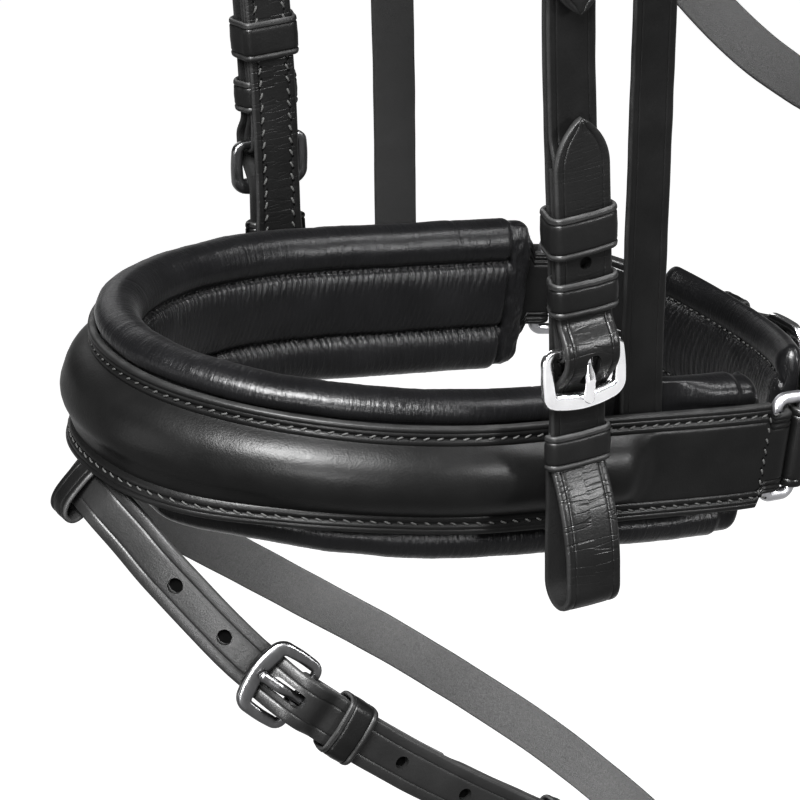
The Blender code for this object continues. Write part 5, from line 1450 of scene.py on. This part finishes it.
# ---------------------------------------------------------------- chin strap and pad
def chin_guide():
    bar = nose_point(NOSE_END_NEAR - 2.0 - RING_GAP, STRAP_U - 3.0, 0)
    x0 = bar.x
    half = [(0, -bar.y - 2.4), (7.4, 52.5), (14.8, 44.0), (22.4, 31.0), (26.8, 16.5), (28.2, 0.0)]
    back = lambda x: x0 + x + FAR_LONGER * (1 - x / 28.2)
    drop = lambda x: nose_z(x) - 0.16 * max(0.0, x - x0 - 8)
    pts = [(x0 + x, -y, drop(x0 + x)) for x, y in half] + [(back(x), y, drop(back(x))) for x, y in reversed(half[:-1])]
    return Guide(pts, lambda p: Vector(((p.x - x0) / 0.5, p.y, 0)), smooth=8)


def make_chin():
    g = chin_guide()
    total = g.total()
    wrap = 2.9
    bar = nose_point(NOSE_END_NEAR - 2.0 - RING_GAP, STRAP_U - 3.0, 0)
    p0, along, out0, _ = g.at(0.0)
    s_n, u_n = (bar - p0).dot(along), (bar - p0).dot(out0)
    s_f = total - s_n
    a, b = 22.0, total - 30.0
    prof = closed_profile([(-2.9, 0), (-2.9, -8), (-2.9, -14.4), (-3.1, -17.2), (-4.6, -18.9), (-6.6, -18.9), (-8.6, -17.0), (-9.5, -14.6), (-9.6, -12.6), (-9.3, -11.4),
                           (-9.9, -10), (-10.7, -7), (-11.2, 0), (-10.7, 7), (-9.9, 10), (-9.3, 11.4), (-9.6, 12.6), (-9.5, 14.6), (-8.6, 17.0), (-6.6, 18.9), (-4.6, 18.9),
                           (-3.1, 17.2), (-2.9, 14.4), (-2.9, 8)], 116)
    st = stations(a, b, 0.45, 4.0)
    frames = [g.at(x) for x in st]
    p = np.array([f[0] for f in frames])
    out = np.array([f[2] for f in frames])
    up = np.array([f[3] if f[3].z > 0 else -f[3] for f in frames])
    dist = np.minimum(st - a, b - st)
    scale = end_scale(dist, 4.0, 0.72)[:, None]
    thin = end_scale(dist, 4.0, 0.40)[:, None]
    u = (prof[:, 0][None] + 5.0) * thin - 5.0
    h = prof[:, 1][None] * scale
    rings = p[:, None] + out[:, None] * u[..., None] + up[:, None] * h[..., None]
    s2, jh, ju = st[:, None], prof[:, 1][None], prof[:, 0][None]
    inside = ju < -6.5
    d_top, d_bot = 11.4 - jh, jh + 11.4
    middle = inside & (np.abs(jh) < 11.4)
    amount = np.where(middle, 0.50 * np.exp(-np.abs(d_top - 3.0) / 7.0) + 0.34 * np.exp(-d_bot / 5.0) + 0.09, 0.0)
    amount = np.where(inside & (np.abs(jh) >= 11.4), 0.14 * np.exp(-(np.abs(jh) - 11.4) / 3.0) + 0.03, amount)
    amount = amount * (0.8 + 0.4 * vnoise(s2 / 12, jh / 8, 22))
    bend = 0.030 * (jh * jh)
    folds = ridges(s2 + bend * 0.6 + 0.22 * jh, 2.2, 0.5, 23)
    fine = ridges(s2 + bend + 0.3 * jh, 1.05, 0.5, 24)
    disp = amount * (folds + 0.35 * fine) + 0.14 * vnoise(s2 / 8, jh / 7, 25)
    disp = disp - 0.32 * np.exp(-(((np.abs(jh) - 11.4) / 0.7) ** 2)) * inside
    disp = np.where((ju > -3.4) & (np.abs(jh) < 15), 0.0, disp)
    rings = rings + normals_of(rings) * disp[..., None]
    pad = grid_mesh("chin_pad_soft", rings, st, SOFT_MAT, gather=np.clip(amount * 2.6, 0, 1), smooth=75)
    belongs(pad, "noseband", "chin_pad")
    rows = Stitches()
    keep = dist > 5
    for target in (11.4, -11.4):
        j = int(np.argmin(np.abs(prof[:, 1] - target) + 10 * (prof[:, 0] > -6.5)))
        rows.row(rings[keep][:, j], -out[keep], 2.6, 1.5, 8, 0.34, sink=0.0)
    rows.make("chin_pad_stitching", "noseband", THREAD_GREY)

    th = 1.8
    inner = 0.0
    s_h = total * 0.5 + 2
    base = inner + th / 2 + 0.25
    path = [(s_f - 28, inner + th + 0.35), (s_f - 12, inner + th + 0.4)]
    path += ease((s_f - 12, inner + th + 0.4), (s_f, u_n + wrap), 8)[1:]
    path += [(s_f + x, u_n + y) for x, y in arc(0, 0, wrap, 90, -90, 10)[1:]]
    path += ease((s_f, u_n - wrap), (s_f - 9, inner), 6)[1:]
    path += [(s_n + 18, inner)]
    path += ease((s_n + 9, inner), (s_n, u_n - wrap), 6)
    path += [(s_n - x, u_n + y) for x, y in arc(0, 0, wrap, -90, 90, 10)[1:]]
    low = base + BILLET / 2 + 0.05
    path += ease((s_n, u_n + wrap), (s_n + 12, low), 8)[1:]
    path += [(s_h - BUCKLE_L - 5, low)]
    rest = base + 2 * PLY + 0.45 + BILLET / 2 + 0.2
    path += over_buckle(s_h, -1, base, rest)
    s_tip = s_h + 50
    path += [(s_tip, rest)]
    tr = Track(g, path, 1.0, tip=15)
    chin = fine_strap("chin_strap_cut", tr, CHIN_W, th, BILLET_MAT, grain=1, tip=15, seed=91, wear=0.3 + 0 * tr.run)
    fold, hole = tongue_cutters(g, s_h, -1, base)
    cut_out(chin, [hole] + [punch_cutter(g, s_h + q, rest, 1.9, 3.2) for q in (27, 38)] + [punch_cutter(g, s_h - q, low, 1.9, 3.4) for q in (26, 38)])
    belongs(chin, "noseband", "chin_strap")
    ch = [(s_h + 26, base + PLY / 2 + 0.05), (s_h + 16, base + PLY / 2 + 0.05)] + chape(s_h, -1, base, 12, 0, None)[1:-1]
    ch += [(s_h + 12, base + PLY * 1.5 + 0.3), (s_h + 26, base + PLY * 1.5 + 0.3)]
    chape_obj = fine_strap("chin_buckle_chape_ply", Track(g, ch, 0.9), CHIN_W - 0.6, PLY, STRAP_MAT, grain=1, wave=0.04, seed=92)
    cut_out(chape_obj, [fold])
    belongs(chape_obj, "noseband", "chin_buckle_chape")
    fine_buckle("chin_buckle", g, s_h, -1, base, CHIN_W, "noseband", "chin_tongue")
    top = rest + th / 2
    fine_keeper("chin_fixed_keeper_loop", g, s_h + 17, 8.5, -th / 2, top, CHIN_W, CHIN_W, "noseband", "chin_fixed_keeper", seed=6, slack=0.4)
    rows = Stitches()
    keep = (np.abs(tr.u - inner) < 0.2) & (tr.run < tr.total * 0.6)
    for side in (-1, 1):
        line = tr.p[keep] + tr.a[keep] * side * (CHIN_W / 2 - 2.0) - tr.n[keep] * 0
        sign = 1 if (tr.n[keep] * np.array([g.at(x)[2] for x in tr.s[keep]])).sum() > 0 else -1
        rows.row(line + tr.n[keep] * sign * 0.78, tr.n[keep] * sign, 3.5, 2.6, 20 * side, 0.3)
    rows.make("chin_strap_stitching", "noseband", THREAD_BLACK)


# ---------------------------------------------------------------- hanger
def hanger_route():
    top = [Vector((7.0 * min(1.0, max(0.0, (-p.z - 8) / 60)), p.y, p.z)) for p in over_head(8.6)]
    keep = [p for p in top if p.z > -112]
    lower = [(7.5, 79.2, -135), (12, 76.0, -170), (17, 71.5, -205), (21, 68.2, -240), (22, 66.8, -280), (22.7, 65.2, -330), (23.0, 63.8, -375), (23.3, 63.5, -432)]
    return [Vector((x - 2.0, y, z)) for x, y, z in reversed(lower)] + keep + [Vector((x, -y, z)) for x, y, z in lower]


def make_hanger():
    g = Guide(hanger_route(), lambda p: Vector((0, p.y, 70.0 + p.z if p.z > -70 else 0.0)), smooth=3)
    total = g.total()
    mid = total / 2
    s_z = lambda z: g.find(2, z, mid + 10, total)
    s_end = s_z(-428.0)
    s_h = s_z(-236.0)
    base = 0.0
    th = 2.0
    far_end = g.find(2, -428.0, 0, mid - 10)
    stop = s_z(-190)
    low = base + BILLET / 2 + 0.05
    path = [(far_end, 0.0), (stop, 0.0)] + ease((stop + 3, 0.0), (s_h - BUCKLE_L - 9, low), 6)
    rest = base + 2 * PLY + 0.45 + BILLET / 2 + 0.2
    path += over_buckle(s_h, -1, base, rest)
    tip = s_z(-291)
    path += [(tip, rest)]
    tr = Track(g, path, 1.15, tip=10)
    long_strap = fine_strap("noseband_hanger_strap", tr, HANGER_W, th, STRAP_MAT, grain=1, tip=10, seed=71, wave=0.16)
    fold, hole = tongue_cutters(g, s_h, -1, base)
    cut_out(long_strap, [hole] + [punch_cutter(g, s_h + 24, rest, 1.5, 3.2)] + [punch_cutter(g, s_h - q, low, 1.5, 4.5) for q in (30, 46)])
    belongs(long_strap, "noseband", "noseband_hanger")
    ch = chape(s_h, -1, base, 40, s_end, 0.0)
    tr2 = Track(g, ch, 1.0)
    short = fine_strap("noseband_hanger_near_ply", tr2, HANGER_W - 0.4, PLY + 0.3, STRAP_MAT, grain=1, seed=72, wave=0.18)
    cut_out(short, [fold])
    belongs(short, "noseband", "noseband_hanger_near_cheek")
    fine_buckle("hanger_buckle", g, s_h, -1, base, HANGER_W, "noseband", "hanger_tongue")
    top = rest + BILLET / 2
    fine_keeper("hanger_fixed_keeper_loop", g, s_h + 14.8, 8.5, -0.1, top, HANGER_W, HANGER_W - 0.4, "noseband", "hanger_fixed_keeper", seed=7)
    fine_keeper("hanger_running_keeper_loop", g, s_h + 31, 9.0, -0.1, top, HANGER_W, HANGER_W - 0.4, "hanger_runner", "hanger_running_keeper", seed=8, lean=0.2)
    rows = Stitches()
    keep = lambda t: np.abs(t.u - (base + PLY * 1.5 + 0.3)) < 0.25
    edge_rows(rows, tr2, s_h + 20, s_h + 39, 1.9, HANGER_W / 2 - 0.2, 0.86, 1, 3.0, 2.2, radius=0.26, which=keep)
    rows.make("hanger_stitching", "noseband", THREAD_BLACK)


# ---------------------------------------------------------------- throatlatch
def make_throat():
    near = [(10.7, 82.4, -127), (12.5, 82.3, -145), (19, 81.8, -170), (36, 78.8, -213), (58, 73.6, -258), (80, 66, -300), (99, 51, -334), (111, 29, -354), (116, 0, -361)]
    pts = [(x, -y, z) for x, y, z in near] + [(x, y, z) for x, y, z in reversed(near[:-1])]
    g = Guide(pts, lambda p: Vector((0.35 * max(0.0, p.x - 30) / 60, p.y / 60, -0.9 * max(0.0, (p.x - 60) / 56) ** 2 * 0.9)), smooth=8)
    total = g.total()
    base = 0.0
    low = base + BILLET / 2 + 0.05
    s_h = 118.0
    th = 2.0
    rest = base + 2 * PLY + 0.45 + BILLET / 2 + 0.2
    r = THROAT_W / 2
    path = [(-3.0 - r, 2.75), (8.0, 2.75)] + ease((8.0, 2.75), (26.0, low + 0.5), 8)[1:] + [(s_h - BUCKLE_L - 10, low)]
    path += over_buckle(s_h, -1, base, rest)
    path += [(s_h + 54, rest)]
    tr = Track(g, path, 1.05, tip=11, tail=r)
    thick = np.interp(tr.run, [0, 14, 30, tr.total], [1.5, 1.5, th, th])
    billet = fine_strap("throatlatch_billet_cut", tr, THROAT_W, th, THROAT_MAT, grain=1, tip=11, tail=r, seed=81, wave=0.16,
                        thickness=lambda d: float(np.interp(d, tr.run, thick)))
    fold, hole = tongue_cutters(g, s_h, -1, base)
    cut_out(billet, [hole] + [punch_cutter(g, s_h + q, rest, 1.5, 3.2) for q in (23, 41)] + [punch_cutter(g, s_h - q, low, 1.5, 4.5) for q in (30, 48)])
    belongs(billet, "throatlatch", "throatlatch_billet")
    ch = chape(s_h, -1, base, 40, 0, 0.6)[:-1]
    s_a, s_b = s_h + 52, total + 3.0 + r - 0.2
    n = 30
    ch += [(s_a + (total - 30 - s_a) * i / n, 0.6 + (low) * (i / n)) for i in range(1, n + 1)]
    ch += ease((total - 26, 0.6 + low), (total - 10, 2.75), 8) + [(s_b, 2.75)]
    tr2 = Track(g, ch, 1.1, tip=r - 0.2)
    thick2 = np.interp(tr2.run, [0, tr2.total - 30, tr2.total - 14, tr2.total], [PLY + 0.3, PLY + 0.3, 1.5, 1.5])
    main = fine_strap("throatlatch_strap", tr2, THROAT_W - 0.4, PLY + 0.3, THROAT_MAT, grain=1, tip=r - 0.2, tip_shape="round", seed=82, wave=0.2,
                      thickness=lambda d: float(np.interp(d, tr2.run, thick2)))
    cut_out(main, [fold])
    belongs(main, "throatlatch", "throatlatch")
    fine_buckle("throatlatch_buckle", g, s_h, -1, base, THROAT_W, "throatlatch", "throatlatch_tongue")
    top = rest + BILLET / 2
    fine_keeper("throatlatch_fixed_keeper_loop", g, s_h + 14.8, 8.5, -0.3, top, THROAT_W, THROAT_W - 0.4, "throatlatch", "throatlatch_fixed_keeper", seed=9)
    fine_keeper("throatlatch_running_keeper_loop", g, s_h + 31, 9.0, -0.3, top, THROAT_W, THROAT_W - 0.4, "throatlatch_runner", "throatlatch_running_keeper", seed=10, lean=0.2)
    rows = Stitches()
    for s_c, u_c in ((-3.0, 2.75), (total + 3.0, 2.75)):
        ring = [place(g, s_c + 4.0 * math.cos(t), u_c + 0.78, 4.0 * math.sin(t)) for t in np.linspace(0, 2 * math.pi, 37)]
        rows.row(np.array([list(q) for q in ring]), [np.array(g.at(s_c)[2])] * 37, 2.5, 1.9, 12, 0.27)
    rows.make("throatlatch_stitching", "throatlatch", THREAD_BLACK)


# ---------------------------------------------------------------- flash
def flash_guide():
    x0, z0 = FLASH_TOP
    near = [(0, 0, -429.3), (0.8, -9, -431.8), (4.6, -17, -438.0), (11.6, -26, -447.0), (26.8, -41, -465.5), (39.8, -47, -478), (52.8, -50.5, -489.5),
            (68.8, -52.5, -502.5), (88.8, -53.5, -517.5), (114.8, -52.5, -536), (138.8, -47, -553), (158.8, -36, -567), (170.8, -20, -576), (174.8, 0, -579)]
    far = [(1.2, 9, -431), (5.5, 17, -435.5), (13.8, 28, -443.5), (24.8, 38, -452.5), (40.8, 45, -467), (56.8, 48.5, -480), (88.8, 50, -505.5),
           (114.8, 49.5, -526), (138.8, 45.5, -546), (158.8, 35.5, -563), (170.8, 20, -574.5)]
    tuck = lambda y, x: float(1 - smooth01((math.hypot(y, x) - 17.0) / 24.0))
    pts = [(x0 + x + 3.2 * tuck(y, x), y, z + 0.2 * tuck(y, x)) for x, y, z in near + far[::-1]]
    pts.append(pts[0])

    def out(p):
        x = p.x - x0
        return Vector(((x - 80) / 80 * 0.8, p.y / 55, -(x - 80) / 80 * 0.8 * FLASH_TILT))

    return Guide(pts, out, smooth=6)


def make_flash():
    g = flash_guide()
    total = g.total()
    base = 0.0
    th = 1.9
    low = base + BILLET / 2 + 0.05
    s_h = 77.7
    rest = base + 2 * PLY + 0.45 + BILLET / 2 + 0.2
    d = -1
    path = [(-6.0, low), (s_h - BUCKLE_L - 8, low)]
    path += over_buckle(s_h, d, base, rest)
    tip = s_h + 102
    path += [(tip, rest)]
    tr = Track(g, path, 0.95, tip=11)
    billet = fine_strap("flash_billet_cut", tr, FLASH_W, th, FLASH_MAT, grain=1, tip=11, seed=101, wave=0.14, inset=3.0)
    fold, hole = tongue_cutters(g, s_h, d, base)
    cuts = [hole] + [punch_cutter(g, s_h + i, low + 1.5, depth=4.2) for i in (-41.2, -23.6)] + [punch_cutter(g, s_h + i, rest + 1.5, radius=1.8, depth=4.2) for i in (33.4, 55.5)]
    cut_out(billet, cuts)
    belongs(billet, "flash", "flash_billet")
    # Near-black discs at the floors of the blind holes: painted shade.
    floor_shades = Stitches()
    for i, level, r in ((-41.2, low, 2.0), (-23.6, low, 2.0), (33.4, rest, 1.8), (55.5, rest, 1.8)):
        q, along, out, across = g.at(s_h + i)
        floor_at = np.array(list(place(g, s_h + i, level - 0.52)))
        floor_shades.holes.append((floor_at, np.array(along), np.array(out), np.array(across), r * 1.02))
    floor_shades.make("flash_hole_linings", "flash", THREAD_BLACK)
    ch = chape(s_h, d, base, 46, 0, 0.6)[:-1]
    s_a, s_b = s_h + 62, total - 8.0
    m = 40
    ch += [(s_a + (s_b - s_a) * i / m, 0.6 + (low - 0.6) * (i / m)) for i in range(m + 1)]
    tr2 = Track(g, ch, 1.05)
    main = fine_strap("flash_strap_ply", tr2, FLASH_W - 0.4, PLY + 0.3, FLASH_MAT, grain=1, seed=102, wave=0.2)
    cut_out(main, [fold])
    belongs(main, "flash", "flash_strap")
    # The flash buckle takes the darker copy of the steel: painted shade.
    fine_buckle("flash_buckle", g, s_h, d, base, FLASH_W, "flash", "flash_tongue", mat=SHADED_STEEL_MAT)
    top = rest + BILLET / 2
    # loop under the front of the noseband
    x0, z0 = FLASH_TOP
    centre = Vector((x0, 0, z0))
    wd, nd = Vector((0.625, 0, 0.78)), Vector((-0.78, 0, 0.625))
    x0, z0 = x0 + 3.2, z0 + 0.2
    centre = Vector((x0, 0, z0))
    plan = [(x0 + 5.4, z0 + 8.9), (x0 + 5.9, z0 + 6.6)]
    for a, b in ((6.2, -2.9), (0, -2.9), (-6.2, -2.8), (-9.3, -1.8), (-10.3, 0.4), (-9.5, 2.6), (-6.2, 3.7), (0, 3.1), (3.0, 2.4), (5.6, 2.0), (7.7, 1.0), (9.0, -1.3), (9.6, -4.4)):
        q = centre + nd * low + wd * a + nd * (b if b < 0 else b - 0.6)
        plan.append((q.x, q.z))
    middle = centre + nd * (low + 0.2)
    loop_guide = Guide([(x, 0, z) for x, z in plan], lambda p: p - middle, smooth=8)
    lt = Track(loop_guide, [(0.0, 0.0), (loop_guide.total(), 0.0)], 0.6)
    sign = 1 if float((lt.n[len(lt.n) // 2] * (lt.p[len(lt.p) // 2] - np.array(middle))).sum()) > 0 else -1
    loop = fine_strap("flash_loop_band", lt, 8.8, 1.5, KEEPER_MAT, grain=sign, seed=103, wave=0.05)
    belongs(loop, "flash", "flash_loop")
    fine_keeper("flash_running_keeper_loop", g, s_h + 15.8, 9.0, -0.3, top, FLASH_W, FLASH_W - 0.4, "flash_runner", "flash_running_keeper", seed=12, slack=0.45, lean=0.5, crown=0.6)
    fine_keeper("flash_fixed_keeper_loop", g, s_h + 88, 8.0, -0.6, top, FLASH_W, FLASH_W - 0.4, "flash", "flash_fixed_keeper", seed=13)
    rows = Stitches()
    keep = lambda t: np.abs(t.u - (base + PLY * 1.5 + 0.3)) < 0.25
    edge_rows(rows, tr2, s_h + 24, s_h + 45, 1.9, FLASH_W / 2 - 0.2, 0.86, 1, 3.0, 2.2, radius=0.26, which=keep)
    if rows.threads:
        rows.make("flash_stitching", "flash", THREAD_BLACK)


make_crown()
make_browband()
make_cheek("near", 1)
make_cheek("far", -1)
make_noseband()
make_nose_pad()
make_chin()
make_hanger()
make_throat()
make_flash()


# ---------------------------------------------------------------- stage
def plain(name, colour, roughness=0.9, glow=0.0):
    mat, nt, shader = new_material(name)
    mm = in_mm(nt)
    cloud = add_node(nt, "ShaderNodeTexNoise", Vector=mm, Scale=0.004, Detail=2.0, Roughness=0.5)
    nt.links.new(mixed(nt, cloud.outputs[0], tuple(c * 0.99 for c in colour), colour), shader.inputs["Base Color"])
    shader.inputs["Roughness"].default_value = roughness
    shader.inputs["Specular IOR Level"].default_value = 0.1
    if glow:
        shader.inputs["Emission Color"].default_value = (1, 1, 1, 1)
        shader.inputs["Emission Strength"].default_value = glow
    return mat


def make_stage():
    bm = bmesh.new()
    size, floor_z = 22.0, -3.0
    corners = [bm.verts.new((x, y, floor_z)) for x, y in ((-size, -size), (size, -size), (size, size), (-size, size))]
    bm.faces.new(corners)
    mesh = bpy.data.meshes.new("floor")
    bm.to_mesh(mesh)
    bm.free()
    floor = bpy.data.objects.new("floor", mesh)
    bpy.context.scene.collection.objects.link(floor)
    mesh.materials.append(plain("floor_paper", (0.50, 0.50, 0.50), glow=0.95))

    world = bpy.data.worlds.new("studio")
    world.use_nodes = True
    bg = world.node_tree.nodes["Background"]
    bg.inputs["Color"].default_value = (1, 1, 1, 1)
    bg.inputs["Strength"].default_value = 0.10
    bpy.context.scene.world = world

    def light(name, towards, distance, size, power, size_y=None, spread=70):
        data = bpy.data.lights.new(name, "AREA")
        data.shape = "RECTANGLE"
        data.size = size
        data.size_y = size_y or size
        data.energy = power
        data.spread = math.radians(spread)
        obj = bpy.data.objects.new(name, data)
        bpy.context.scene.collection.objects.link(obj)
        aim = Vector((0.0, 0.0, -0.40))
        towards = Vector(towards).normalized()
        obj.location = aim + towards * distance
        obj.rotation_mode = "QUATERNION"
        obj.rotation_quaternion = (-towards).to_track_quat("-Z", "Y")
        return obj

    light("key", (-0.42, -0.47, 0.78), 1.25, 0.62, 46.0)
    light("front", (-0.54, -0.83, 0.11), 1.6, 0.34, 8.0, 0.30)
    light("front_right", (0.47, -0.83, 0.31), 1.5, 0.22, 8.5, 0.22)
    light("right", (0.63, -0.36, 0.69), 1.4, 0.3, 2.2)
    light("overhead", (0.58, -0.28, 0.765), 1.5, 0.20, 3.5, 0.20)
    light("left", (-0.97, 0.15, 0.08), 1.6, 0.6, 2.0, 0.6)
    light("rear", (0.1, 0.95, 0.35), 1.6, 0.9, 1.0, 0.6)


def make_camera():
    data = bpy.data.cameras.new("camera")
    data.sensor_width = 36.0
    data.lens = 3640.0 / 800.0 * 36.0
    data.clip_start, data.clip_end = 0.05, 50.0
    cam = bpy.data.objects.new("camera", data)
    bpy.context.scene.collection.objects.link(cam)
    a, e = math.radians(-28.0), math.radians(24.5)
    k = Vector((-math.sin(a) * math.cos(e), math.cos(a) * math.cos(e), -math.sin(e)))
    target = Vector((-0.0131, -0.0035, -0.4236))
    cam.location = target - k * 0.95
    cam.rotation_mode = "QUATERNION"
    cam.rotation_quaternion = k.to_track_quat("-Z", "Y")
    bpy.context.scene.camera = cam


make_stage()
make_camera()
bpy.context.scene.view_settings.view_transform = "Standard"
bpy.context.scene.view_settings.look = "None"
bpy.context.scene.view_settings.gamma = 0.80
